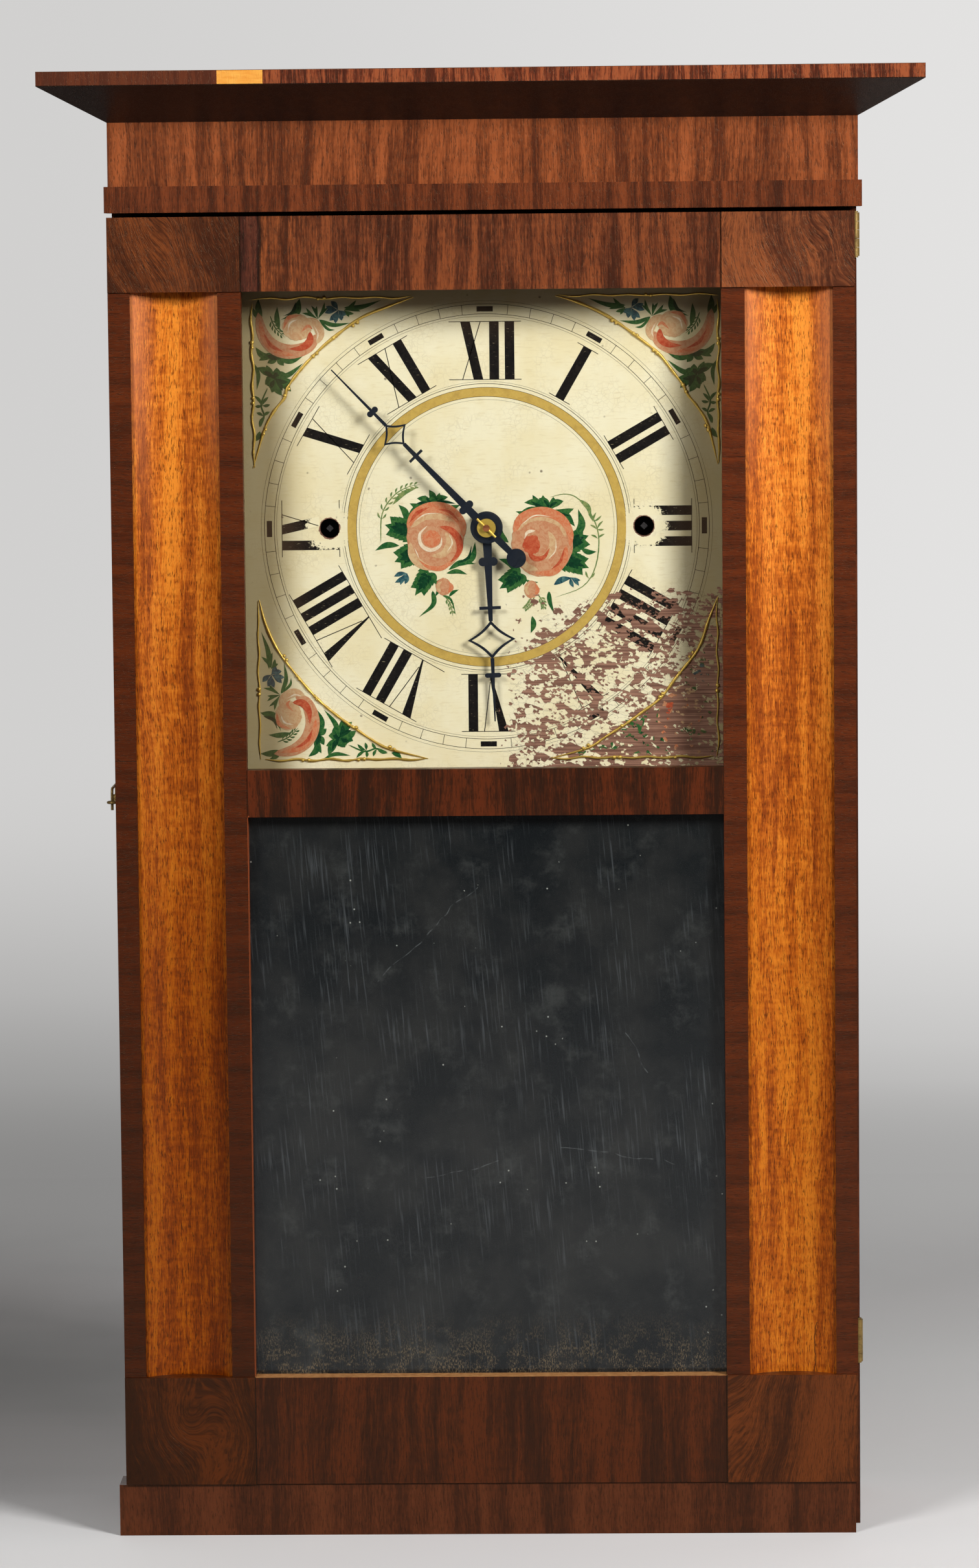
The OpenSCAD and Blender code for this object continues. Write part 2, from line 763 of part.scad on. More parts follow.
// Wooden arbor with a pinion cut on it, and a steel pivot let into each end
module arbor(p, from, n, m, y0, t, front = 0) {
  low = inside_y + shake;
  high = back_plate_y - shake;
  socket = 8;
  color("burlywood") at(p) difference() {
    union() {
      bar(0, 0, around(arbor_r), low, high, arbor_sides);
      if (n > 0) stand(y0 + t, t) pinion_outline(n, m, angle_to(p, from));
    }
    for (y = [low - mm_cut, high - socket])
      bar(0, 0, around(pivot_r + seat_slack), y, y + socket + mm_cut, arbor_sides);
  }
  color("gray") at(p) {
    bar(0, 0, pivot_r, plate_y + shake - front, low + socket - 2 * mm_cut);
    bar(0, 0, pivot_r, high - socket + mm_cut, movement_back_y - shake);
  }
}

// Depths of the layers of wheels, from the inside of the front plate
great_layer = inside_y + 39;
great_thick = 7;
second_layer = inside_y + 31;
second_thick = 5;
strike_second_layer = inside_y + 25;
strike_second_thick = 4;
third_layer = inside_y + 19;
third_thick = 3;
centre_layer = inside_y + 12;
centre_thick = 3.5;
escape_layer = inside_y + 5;
escape_thick = 3;
pin_layer = inside_y + 17;
pin_thick = 3;
warning_layer = inside_y + 6;
warning_thick = 3;
lap = 1;

module second_arbor(p, from) {
  arbor(p, from, leaves, m_great, great_layer - lap, great_thick + 2 * lap);
}

module time_second_wheel() {
  second_arbor(at_second, at_great);
  color("peru") wheel(at_second, at_centre, second_n, m_second, second_layer,
                      second_thick, arbor_r);
}

module third_wheel() {
  arbor(at_third, at_centre, leaves, m_centre, centre_layer - lap,
        centre_thick + 2 * lap);
  color("peru") wheel(at_third, at_escape, third_n, m_third, third_layer, third_thick,
                      arbor_r);
}

// Brass escape wheel with thin pointed teeth leaning one way. It stands a little past
// half a tooth, so that each pallet swings into the middle of a gap.
rest_turn = 0.55;
module escape_wheel() {
  arbor(at_escape, at_third, leaves, m_third, third_layer - lap, third_thick + 2 * lap);
  pitch = 360 / escape_n;
  depth = 4;
  color("gold") at(at_escape) difference() {
    stand(escape_layer + escape_thick, escape_thick)
      polygon([for (i = [0 : escape_n - 1]) let (a = 90 + (i + rest_turn) * pitch) each [
        polar(escape_r - depth, a - 0.4 * pitch), polar(escape_r, a - 0.08 * pitch),
        polar(escape_r, a + 0.02 * pitch), polar(escape_r - depth, a + 0.1 * pitch)]]);
    bar(0, 0, around(arbor_r + seat_slack), escape_layer - mm_cut,
        escape_layer + escape_thick + mm_cut, arbor_sides);
  }
}

// Centre arbor: pinion, centre wheel, and the steel spindle that carries the hands
spindle_r = 2.2;
centre_arbor_r = 3.2;
cannon_r = 3.2;
hour_pipe_t = 1.4;
cannon_y = dial_back_y + 5;
cannon_t = 3.6;
hour_y = dial_back_y + 1.2;
hour_t = 3;
hour_hand_y = dial_y - 5.6;
minute_hand_y = hour_hand_y - 4;
collet_t = 2.4;
spindle_y = minute_hand_y - collet_t - 2.6;
hour_pipe_y = hour_hand_y - 0.8;

module centre_wheel() {
  low = inside_y + shake;
  high = back_plate_y - shake;
  socket = 8;
  color("burlywood") at(at_centre) difference() {
    union() {
      bar(0, 0, around(centre_arbor_r), low, high, arbor_sides);
      stand(second_layer + second_thick + lap, second_thick + 2 * lap)
        pinion_outline(leaves, m_second, angle_to(at_centre, at_second));
    }
    bar(0, 0, around(spindle_r + seat_slack), low - mm_cut, low + socket, arbor_sides);
    bar(0, 0, around(pivot_r + seat_slack), high - socket, high + mm_cut, arbor_sides);
  }
  color("gray") at(at_centre) {
    bar(0, 0, spindle_r, spindle_y, low + socket - mm_cut);
    bar(0, 0, pivot_r, high - socket + mm_cut, movement_back_y - shake);
  }
  color("peru") wheel(at_centre, at_third, centre_n, m_centre, centre_layer,
                      centre_thick, centre_arbor_r);
  color("burlywood") at(at_centre) difference() {
    union() {
      stand(cannon_y + cannon_t, cannon_t)
        pinion_outline(cannon_n, m_motion, angle_to(at_centre, at_minute));
      bar(0, 0, cannon_r, minute_hand_y + hand_t, cannon_y + cannon_t);
    }
    bar(0, 0, spindle_r + seat_slack, minute_hand_y, cannon_y + cannon_t + mm_cut);
  }
}

module minute_wheel() {
  color("peru") at(at_minute) difference() {
    union() {
      stand(cannon_y + 3.3, 3) wheel_outline(minute_n, m_motion,
                                             angle_to(at_minute, at_centre));
      stand(cannon_y + 0.5, cannon_y + 0.5 - hour_y + 0.4)
        pinion_outline(leaves, m_motion, angle_to(at_minute, at_centre));
    }
    bar(0, 0, stud_r + run, hour_y - mm_cut, cannon_y + cannon_t + mm_cut);
  }
}
stud_r = 1.6;

module hour_wheel() {
  color("peru") difference() {
    union() {
      at(at_centre) stand(hour_y + hour_t, hour_t)
        wheel_outline(hour_n, m_motion, angle_to(at_centre, at_minute));
      at(at_centre) bar(0, 0, cannon_r + run + hour_pipe_t, hour_pipe_y, hour_y + hour_t);
    }
    at(at_centre) bar(0, 0, cannon_r + run, hour_pipe_y - mm_cut,
                      hour_y + hour_t + mm_cut);
  }
}

// ---------------------------------------------------------------- hands

// Diamond with hollow sides, w across and h along, standing on the y axis at y
module hollow_diamond(y, w, h) {
  steps = 6;
  sag = 0.12;
  corners = [[w / 2, 0], [0, h / 2], [-w / 2, 0], [0, -h / 2]];
  translate([0, y]) polygon([for (i = [0 : 3]) for (k = [0 : steps - 1])
    let (a = corners[i], b = corners[(i + 1) % 4], t = k / steps, s = 4 * sag * t * (1 - t))
      (a * (1 - t) + b * t) * (1 - s)]);
}

module ring_diamond(y, w, h, wall) {
  difference() {
    linear_extrude(hand_t) hollow_diamond(y, w, h);
    translate([0, 0, -mm_cut]) linear_extrude(hand_t + 2 * mm_cut)
      hollow_diamond(y, w - 2.6 * wall, h - 2.6 * wall);
  }
}

// A tapering blade between two heights
module blade(y0, y1, w0, w1) {
  linear_extrude(hand_t) polygon([[-w0 / 2, y0], [w0 / 2, y0], [w1 / 2, y1], [-w1 / 2, y1]]);
}

module disc(x, y, r) {
  translate([x, y, 0]) cylinder(r = r, h = hand_t);
}

module hand_at(angle, y) {
  translate([0, y + hand_t, hands_z]) rotate([90, 0, 0]) rotate([0, 0, -angle]) children();
}

module minute_hand() {
  l = minute_hand_l;
  cross_y = 0.455 * l;
  ring_y = 0.59 * l;
  ball_y = 0.734 * l;
  tail_y = -0.193 * l;
  color("midnightblue") hand_at(minute_angle, minute_hand_y) difference() {
    union() {
      disc(0, 0, hub_r);
      disc(0, tail_y, 6.3);
      blade(tail_y, 0, 3.6, 5.5);
      blade(0, ring_y - 8.3, 5.6, 2.4);
      blade(ring_y + 8.2, l, 2.2, 0.7);
      blade(cross_y - 0.9, cross_y + 0.9, 11, 11);
      for (x = [-1, 1]) disc(3 * x, 0.13 * l, 2.4);
      for (x = [-1, 1]) disc(2.1 * x, ball_y, 2);
      ring_diamond(ring_y, 20, 18, 1.6);
    }
    translate([0, 0, -mm_cut]) cylinder(r = spindle_r + seat_slack, h = hand_t + 2 * mm_cut);
  }
}

module hour_hand() {
  l = hour_hand_l;
  cross_y = 0.414 * l;
  ring_y = 0.578 * l;
  bar_y = 0.762 * l;
  color("midnightblue") hand_at(hour_angle, hour_hand_y) difference() {
    union() {
      disc(0, 0, hub_r + 0.5);
      blade(0, ring_y - 12, 6.4, 2.6);
      blade(ring_y + 12, l, 2.6, 0.8);
      blade(cross_y - 1, cross_y + 1, 14, 14);
      for (x = [-1, 1]) disc(3.4 * x, 0.176 * l, 2.8);
      blade(bar_y - 1.5, bar_y + 1.5, 7.5, 7.5);
      for (x = [-1, 1]) disc(3.8 * x, bar_y, 1.5);
      ring_diamond(ring_y, 31, 25, 2);
    }
    translate([0, 0, -mm_cut])
      cylinder(r = cannon_r + run + hour_pipe_t + seat_slack, h = hand_t + 2 * mm_cut);
  }
}

// Brass collet with the taper pin that keeps the hands on
module hand_collet() {
  collet_r = 6;
  pin_l = 17;
  color("gold") at(at_centre) difference() {
    translate([0, minute_hand_y, 0]) rotate([90, 0, 0]) cylinder(r = collet_r, h = collet_t);
    bar(0, 0, spindle_r + seat_slack, minute_hand_y - collet_t - mm_cut,
        minute_hand_y + mm_cut);
  }
  color("gold") at(at_centre) translate([0, minute_hand_y - collet_t - 0.85, 0])
    rotate([0, 45, 0]) for (half = [0, 1]) mirror([half, 0, 0])
      translate([spindle_r + seat_slack, 0, 0]) rotate([0, 90, 0])
        cylinder(r = 0.8, h = pin_l / 2 - spindle_r);
}

// ---------------------------------------------------------------- drums and great wheels

drum_front = inside_y + 3;
drum_back = inside_y + 32;
flange_r = 20;
flange_t = 2;
ratchet_n = 16;
ratchet_r = 19;
ratchet_t = 2.2;
ratchet_y = great_layer - ratchet_t - 0.3;
square_s = 3.4;

// Winding drum with its flanges, ratchet, arbor and winding square
module drum(p) {
  low = inside_y + shake;
  high = back_plate_y - shake;
  color("burlywood") at(p) union() {
    bar(0, 0, drum_r, drum_front, drum_back);
    bar(0, 0, flange_r, drum_front, drum_front + flange_t);
    bar(0, 0, flange_r, drum_back - flange_t, drum_back);
    bar(0, 0, drum_arbor_r, low, high);
    bar(0, 0, drum_pivot_r, plate_y - shake, movement_back_y - shake);
    stand(ratchet_y + ratchet_t, ratchet_t)
      polygon([for (i = [0 : ratchet_n - 1]) let (a = i * 360 / ratchet_n) each [
        polar(ratchet_r, a), polar(ratchet_r - 3, a + 2)]]);
    translate([0, dial_y + 3, 0]) rotate([-90, 45, 0])
      translate([-square_s / 2, -square_s / 2, 0])
        cube([square_s, square_s, plate_y - dial_y - 3]);
  }
}
drum_pivot_r = 3;

// Great wheel running loose on the drum's arbor, with the click that drives it
module great_wheel(p, to) {
  click_r = ratchet_r + 0.4;
  color("peru") at(p) {
    difference() {
      stand(great_layer + great_thick, great_thick)
        wheel_outline(great_n, m_great, angle_to(p, to));
      bar(0, 0, drum_arbor_r + run, great_layer - mm_cut,
          great_layer + great_thick + mm_cut);
    }
    stand(great_layer, great_layer - ratchet_y) rotate(140)
      polygon([[click_r, -2], [click_r + 7, -5], [click_r + 9, -14], [click_r + 4, -16],
               [click_r + 0.8, -8]]);
  }
}

module time_drum() { drum(at_great); }
module strike_drum() { drum(at_strike_great); }
module time_great_wheel() { great_wheel(at_great, at_second); }
module strike_great_wheel() { great_wheel(at_strike_great, at_strike_second); }

// ---------------------------------------------------------------- strike train

module strike_second_wheel() {
  reach = plate_y + shake - (dial_back_y + 11.8);
  arbor(at_strike_second, at_strike_great, leaves, m_great, great_layer - lap,
        great_thick + 2 * lap, reach);
  color("peru") wheel(at_strike_second, at_pin, strike_second_n, m_strike_second,
                      strike_second_layer, strike_second_thick, arbor_r);
  color("burlywood") at(at_strike_second) difference() {
    stand(dial_back_y + 15.4, 3.6)
      pinion_outline(count_leaves, m_count, angle_to(at_strike_second, at_count));
    bar(0, 0, around(pivot_r + seat_slack), dial_back_y + 11, dial_back_y + 16,
        arbor_sides);
  }
}

// Pin wheel: its five pins lift the hammer's tail
pin_circle = 20;
pin_r = 1.4;
module pin_wheel() {
  arbor(at_pin, at_strike_second, leaves, m_strike_second, strike_second_layer - lap,
        strike_second_thick + 2 * lap);
  color("peru") wheel(at_pin, at_warning, pin_n, m_pin, pin_layer, pin_thick, arbor_r);
  color("gray") at(at_pin) for (i = [0 : strike_pins - 1])
    let (c = polar(pin_circle, 216 + i * 360 / strike_pins))
      bar(c[0], c[1], pin_r, pin_layer - 5, pin_layer - seat_slack);
}

module warning_wheel() {
  arbor(at_warning, at_pin, leaves, m_pin, pin_layer - lap, pin_thick + 2 * lap);
  color("peru") wheel(at_warning, at_fly, warning_n, m_warning, warning_layer,
                      warning_thick, arbor_r);
}

// Air brake: two thin vanes on a boss
module fly() {
  vane_w = 16;
  vane_t = 1.2;
  boss_r = 5;
  y0 = inside_y + 16;
  y1 = inside_y + 40;
  arbor(at_fly, at_warning, leaves, m_warning, warning_layer - lap,
        warning_thick + 2 * lap);
  color("wheat") at(at_fly) difference() {
    union() {
      bar(0, 0, around(boss_r), y0, y1, arbor_sides);
      box(-vane_w, vane_w, y0, y1, -vane_t / 2, vane_t / 2);
    }
    bar(0, 0, around(arbor_r + seat_slack), y0 - mm_cut, y1 + mm_cut, arbor_sides);
  }
}

// Count wheel in front of the plate: notches at growing distances for the hours
count_disc_r = 34;
count_y = dial_back_y + 8.4;
function blows_before(h) = h * (h + 1) / 2;
module count_wheel() {
  notch_w = 2.2;
  notch_d = 4;
  color("peru") at(at_count) difference() {
    union() {
      bar(0, 0, count_disc_r, count_y, count_y + 3);
      stand(dial_back_y + 15, 15 + dial_back_y - count_y - 2)
        wheel_outline(count_n, m_count, angle_to(at_count, at_strike_second));
    }
    bar(0, 0, count_stud_r + run, count_y - mm_cut, dial_back_y + 16);
    for (h = [0 : 11]) rotate([0, 360 * blows_before(h) / 78, 0])
      box(count_disc_r - notch_d, count_disc_r + mm_cut, count_y - mm_cut, count_y + 3,
          -notch_w / 2, notch_w / 2);
  }
}
count_stud_r = 2.5;

// Hammer on its own arbor: tail towards the pin wheel, wire and head below
hammer_y = inside_y + 33;
hammer_gap = 0.5;
module strike_hammer() {
  reach = norm(at_pin - at_hammer);
  tail_l = reach - pin_circle - pin_r - hammer_gap;
  tail_dir = angle_to(at_hammer, at_pin);
  arbor(at_hammer, at_pin, 0, 1, 0, 0);
  color("peru") at(at_hammer) difference() {
    union() {
      bar(0, 0, 5, pin_layer - 4.6, pin_layer - 1);
      translate([0, pin_layer - 4.6, 0]) rotate([0, -tail_dir, 0])
        box(0, tail_l, 0, 3.2, -1.6, 1.6);
      bar(0, 0, 5, hammer_y - 3, hammer_y + 3);
      translate([0, hammer_y, -hammer_l]) cylinder(r = 1.3, h = hammer_l);
      translate([-head_half, hammer_y, -hammer_l]) rotate([0, 90, 0])
        cylinder(r = 5, h = 2 * head_half);
    }
    bar(0, 0, around(arbor_r + seat_slack), inside_y, back_plate_y, arbor_sides);
  }
}

// Cast bell on a post from the back board, its rim beside the hammer's head
head_half = 7;
bell_gap = 1;
module bell() {
  wall = 2.6;
  depth = 24;
  crown = 12;
  post_r = 3;
  function dome(r, d) = [for (a = [0 : 15 : 90]) [crown + (r - crown) * sin(a), -d * cos(a)]];
  at(at_hammer) translate([-head_half - bell_gap - bell_r, hammer_y, -hammer_l]) {
    color("dimgray") rotate([-90, 0, 0]) rotate_extrude() polygon(concat(
      [[post_r + seat_slack, -depth]], dome(bell_r, depth), [[bell_r, 5], [bell_r - wall, 5]],
      [for (i = [6 : -1 : 0]) dome(bell_r - wall, depth - wall)[i]],
      [[post_r + seat_slack, -depth + wall]]));
    color("gray") bar(0, 0, post_r, -depth - 4, wall_y - hammer_y);
  }
}

// ---------------------------------------------------------------- verge and pendulum

verge_layer = escape_layer - 0.5;
verge_thick = escape_thick + 1;
pallet_gap = 0.35;
pallet_teeth = 7.5;
swing_y = dial_back_y + 8.5;
crutch_drop = 30;

// Bent strip over the escape wheel with a pallet at each end, and the crutch in front
module verge() {
  half_span = pallet_teeth * 360 / escape_n / 2;
  tip_r = escape_r + pallet_gap;
  strip_r = tip_r + 4.5;
  color("gray") translate([at_escape[0], 0, hands_z + at_escape[1]]) {
    for (side = [-1, 1]) stand(verge_layer + verge_thick, verge_thick) rotate(side * half_span)
      polygon([[-0.35, tip_r], [0.35, tip_r], [1.3, tip_r + 4.6], [-1.3, tip_r + 4.6]]);
    intersection() {
      difference() {
        bar(0, 0, strip_r + 2.6, verge_layer, verge_layer + verge_thick);
        bar(0, 0, strip_r, verge_layer - mm_cut, verge_layer + verge_thick + mm_cut);
      }
      stand(verge_layer + verge_thick, verge_thick)
        polygon([[0, 0], polar(3 * strip_r, 90 - half_span - 2),
                 polar(3 * strip_r, 90 + half_span + 2)]);
    }
  }
  color("gray") at(at_verge) union() {
    bar(0, 0, arbor_r + 2, verge_layer, verge_layer + verge_thick);
    bar(0, 0, pivot_r, plate_y - 4.4, movement_back_y - shake);
    bar(0, 0, 2.6, plate_y - 4.4, plate_y - 1.4);
    translate([0, plate_y - 3, -crutch_drop]) cylinder(r = 0.9, h = crutch_drop);
    crutch_fork();
  }
}

// Two prongs that reach forward round the pendulum rod
module crutch_fork() {
  gap = rod_r + 0.4;
  prong = 1.2;
  back = plate_y - 3;
  for (side = [-1, 1]) translate([side * (gap + prong / 2), 0, -crutch_drop])
    box(-prong / 2, prong / 2, swing_y - 3, back + 0.9, 0, 2);
  translate([0, 0, -crutch_drop]) box(-gap - prong, gap + prong, back - 0.9, back + 0.9, 0, 2);
}

cock_r = 3.5;
cock_gap = 0.3;
cock_rise = 12;
lug_half = 2.5;

module pendulum_rod() {
  spring_w = 4;
  spring_t = 0.4;
  spring_l = 14;
  thread = bob_r + 12;
  color("gray") at(at_verge) translate([0, swing_y, 0]) {
    box(-spring_t / 2, spring_t / 2, -spring_w / 2, spring_w / 2, -spring_l, 0);
    difference() {
      translate([0, 0, -pendulum_l - thread]) cylinder(r = rod_r, h = pendulum_l + thread
                                                       - spring_l + 2);
      translate([-spring_t / 2, -spring_w, -spring_l]) cube([spring_t, 2 * spring_w, 4]);
    }
  }
}

module pendulum_bob() {
  nut_r = 5;
  nut_t = 4;
  color("gold") at(at_verge) translate([0, swing_y, -pendulum_l]) {
    difference() {
      union() {
        bar(0, 0, bob_r, -bob_t / 4, bob_t / 4);
        bar(0, 0, bob_r - 3, -bob_t / 2, bob_t / 2);
      }
      translate([0, 0, -bob_r - mm_cut])
        cylinder(r = rod_r + seat_slack, h = 2 * bob_r + 2 * mm_cut);
    }
    translate([0, 0, -bob_r - nut_t - 0.1]) difference() {
      cylinder(r = nut_r, h = nut_t);
      translate([0, 0, -mm_cut]) cylinder(r = rod_r + seat_slack, h = nut_t + 2 * mm_cut);
    }
  }
}

// ---------------------------------------------------------------- plates

// Drum pivots and plain pivots through a plate
module plate_holes(y0, y1, front) {
  pair() at(at_great) bar(0, 0, drum_pivot_r + run, y0, y1);
  for (p = [at_second, at_third, at_escape, at_verge, at_strike_second, at_pin,
            at_warning, at_fly, at_hammer]) at(p) bar(0, 0, pivot_r + run, y0, y1);
  at(at_centre) bar(0, 0, (front ? spindle_r : pivot_r) + run, y0, y1);
}

pillar_inset = 12;
pillar_r = 8;
pillar_tenon_r = 4.5;
function pillar_places() = [for (x = [-1, 1]) for (z = [-1, 1])
  [x * (plate_w / 2 - pillar_inset), z * (plate_h / 2 - pillar_inset)]];

module movement_plate(y0, front) {
  color("wheat") difference() {
    at(at_centre) box(-plate_w / 2, plate_w / 2, y0, y0 + plate_t, -plate_h / 2,
                      plate_h / 2);
    plate_holes(y0 - mm_cut, y0 + plate_t + mm_cut, front);
    for (p = pillar_places()) at(p)
      bar(0, 0, pillar_tenon_r + seat_slack, y0 - mm_cut, y0 + plate_t + mm_cut);
    if (!front) for (p = peg_places()) at(p)
      bar(0, 0, peg_r + seat_slack, y0 - mm_cut, y0 + plate_t + mm_cut);
  }
}

module plate_front() { movement_plate(plate_y, true); }
module plate_back() { movement_plate(back_plate_y, false); }

// Pillars with their pins, studs of the motion work, and the pegs into the seat rails
module pillars_and_pegs() {
  pin_l = 14;
  pin_r = 1.2;
  color("burlywood") {
    for (p = pillar_places()) at(p) {
      bar(0, 0, pillar_r, inside_y, back_plate_y);
      bar(0, 0, pillar_tenon_r, plate_y - 5, inside_y + 1);
      bar(0, 0, pillar_tenon_r, back_plate_y - 1, movement_back_y);
      translate([-pin_l / 2, plate_y - pin_r - seat_slack, 0]) rotate([0, 90, 0])
        cylinder(r = pin_r, h = pin_l);
    }
    at(at_verge) {
      bar(0, cock_rise, cock_r, swing_y - lug_half, plate_y);
      box(-lug_half + 0.5, lug_half - 0.5, swing_y - lug_half, swing_y + lug_half, cock_gap,
          cock_rise);
    }
    for (p = peg_places()) at(p) bar(0, 0, peg_r, back_plate_y + 1, wall_y - 1);
    at(at_count) bar(0, 0, count_stud_r, count_y - 1, plate_y);
  }
  color("gray") at(at_minute) bar(0, 0, stud_r, hour_y - 0.5, plate_y);
}

// ---------------------------------------------------------------- weights, cords, pulleys

weight_y = plate_y + weight_back;
weight_z = plinth_h + weight_lift;
weight_top = weight_z + weight_h;
eye_h = 16;
pulley_rim = pulley_r + 1.5;
pulley_gap = 2;
pulley_z = cornice_z - shelf_t - pulley_rim - pulley_gap;
pulley_x = weight_x - pulley_r;
groove_r = pulley_r - cord_r - 0.3;
pulley_t = 8;
axle_r = 1.8;

module weight(side) {
  chamfer = 3;
  color("dimgray") translate([side * weight_x, weight_y, weight_z]) union() {
    rotate_extrude() polygon([[0, 0], [weight_r - chamfer, 0], [weight_r, chamfer],
      [weight_r, weight_h - chamfer], [weight_r - chamfer, weight_h], [0, weight_h]]);
    translate([0, 0, weight_h]) {
      cylinder(r = 2, h = eye_h - 8);
      difference() {
        translate([0, 1.5, eye_h - 6]) rotate([90, 0, 0]) cylinder(r = 6, h = 3);
        translate([0, 3, eye_h - 6]) rotate([90, 0, 0]) cylinder(r = 3.4, h = 6);
      }
    }
  }
}
module time_weight() { weight(1); }
module strike_weight() { weight(-1); }

// Upright run of a cord, from the pulley down to the weight
module drop_cord(side) {
  foot = weight_top + eye_h + 0.4;
  color("olive") translate([side * weight_x, weight_y, foot])
    cylinder(r = cord_r, h = pulley_z - foot, $fn = 24);
}
module time_cord() { drop_cord(1); }
module strike_cord() { drop_cord(-1); }

// Slanting run from a drum to its pulley, and the turn over the pulley
cord_slack = 0.3;
drum_cord_r = drum_r + cord_r + cord_slack;
module upper_cord(p, side, cross) {
  c = [side * pulley_x, pulley_z - hands_z];
  d = c - p;
  ends = cross ? -1 : 1;
  dir = angle_to(p, c) - asin((drum_cord_r - ends * pulley_r) / norm(d));
  start = p + drum_cord_r * polar(1, dir + 90);
  run_l = norm(d) * cos(angle_to(p, c) - dir);
  from = cross ? dir - 90 : 0;
  span = cross ? 180 - dir + 90 : dir + 90;
  color("olive") {
    at(start) translate([0, weight_y, 0]) rotate([0, 90 - dir, 0])
      cylinder(r = cord_r, h = run_l, $fn = 24);
    at(c) translate([0, weight_y, 0]) rotate([90, 0, 0]) rotate([0, 0, from])
      rotate_extrude(angle = span) translate([pulley_r, 0]) circle(r = cord_r, $fn = 24);
  }
}

module upper_cords() {
  upper_cord(at_great, 1, false);
  upper_cord(at_strike_great, -1, true);
}

module pulley(side) {
  color("burlywood") translate([side * pulley_x, weight_y, pulley_z]) rotate([-90, 0, 0])
    difference() {
      rotate_extrude() polygon([
        [axle_r + run, -pulley_t / 2], [pulley_rim, -pulley_t / 2],
        [groove_r, -cord_r], [groove_r, cord_r],
        [pulley_rim, pulley_t / 2], [axle_r + run, pulley_t / 2]]);
    }
}
module time_pulley() { pulley(1); }
module strike_pulley() { pulley(-1); }

// Hanging blocks with two cheeks and a wooden axle, under the top board
module pulley_blocks() {
  cheek = 4;
  gap = pulley_t / 2 + 0.4;
  low = pulley_z - 8;
  top = cornice_z - shelf_t;
  half = 8;
  color("burlywood") for (side = [-1, 1])
    translate([side * pulley_x, weight_y, 0]) {
      for (s = [-1, 1]) difference() {
        box(-half, half, s > 0 ? gap : -gap - cheek, s > 0 ? gap + cheek : -gap, low, top);
        bar(0, pulley_z, axle_r, -30, 30);
      }
      bar(0, pulley_z, axle_r, -gap - cheek, gap + cheek);
    }
}

side_boards();
back_board();
bottom_board();
top_board();
cornice_mouldings();
frieze();
frieze_band();
plinth_rail();
inner_rails();
dial_board();
hinge_case_leaves();
latch_screw();
latch_hook();
latch_eye();
hinge_door_leaves();
door_stiles();
door_rail_top();
door_rail_middle();
door_rail_bottom();
pilasters();
edge_strips();
corner_blocks();
dial_glass();
dial_glass_bead();
mirror_glass();
mirror_back();
plate_front();
plate_back();
pillars_and_pegs();
minute_hand();
hour_hand();
hand_collet();
hour_wheel();
minute_wheel();
centre_wheel();
time_drum();
time_great_wheel();
time_second_wheel();
third_wheel();
escape_wheel();
verge();
pendulum_rod();
pendulum_bob();
time_weight();
strike_weight();
time_cord();
strike_cord();
upper_cords();
time_pulley();
strike_pulley();
pulley_blocks();
strike_drum();
strike_great_wheel();
strike_second_wheel();
pin_wheel();
warning_wheel();
fly();
count_wheel();
strike_hammer();
bell();
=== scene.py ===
"""Tall shelf clock: mahogany veneers, painted dial, old mirror, movement, and its studio."""
import math
import random

import bpy
from mathutils import Matrix, Vector


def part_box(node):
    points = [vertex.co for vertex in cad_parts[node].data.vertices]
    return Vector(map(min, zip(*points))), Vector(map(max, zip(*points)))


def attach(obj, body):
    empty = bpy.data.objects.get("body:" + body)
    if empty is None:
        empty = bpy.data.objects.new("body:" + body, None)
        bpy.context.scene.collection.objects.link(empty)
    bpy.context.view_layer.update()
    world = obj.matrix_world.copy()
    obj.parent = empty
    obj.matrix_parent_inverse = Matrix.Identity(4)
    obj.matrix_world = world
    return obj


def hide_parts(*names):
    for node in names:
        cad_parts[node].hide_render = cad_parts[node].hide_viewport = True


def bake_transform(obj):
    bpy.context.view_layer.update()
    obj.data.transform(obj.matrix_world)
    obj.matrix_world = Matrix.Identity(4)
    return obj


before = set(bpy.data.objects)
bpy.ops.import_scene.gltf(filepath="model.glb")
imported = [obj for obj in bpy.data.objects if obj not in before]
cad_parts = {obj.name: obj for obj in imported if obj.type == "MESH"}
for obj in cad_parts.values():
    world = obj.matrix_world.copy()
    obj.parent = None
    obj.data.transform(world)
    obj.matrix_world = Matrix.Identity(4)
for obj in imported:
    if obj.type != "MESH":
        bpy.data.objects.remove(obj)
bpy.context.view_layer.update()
MM = 0.001


# ------------------------------------------------------------ places on the clock

def middle(node):
    """Centre of a node's box."""
    low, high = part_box(node)
    return (low + high) / 2


DOOR_X = middle("corner_blocks").x
# The glass reaches this far behind the door's frame.
GLASS_HIDDEN = 4.6 * MM
OPEN_HALF = (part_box("dial_glass")[1].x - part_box("dial_glass")[0].x) / 2 - GLASS_HIDDEN
MIRROR_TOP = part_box("door_rail_middle")[0].z
MIRROR_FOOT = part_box("door_rail_bottom")[1].z
DIAL_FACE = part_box("dial_board")[0].y
HANDS = Vector((0, DIAL_FACE, middle("hand_collet").z))
FRIEZE_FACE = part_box("frieze")[0].y
WINDING_OUT = 0.102


# ------------------------------------------------------------ studio

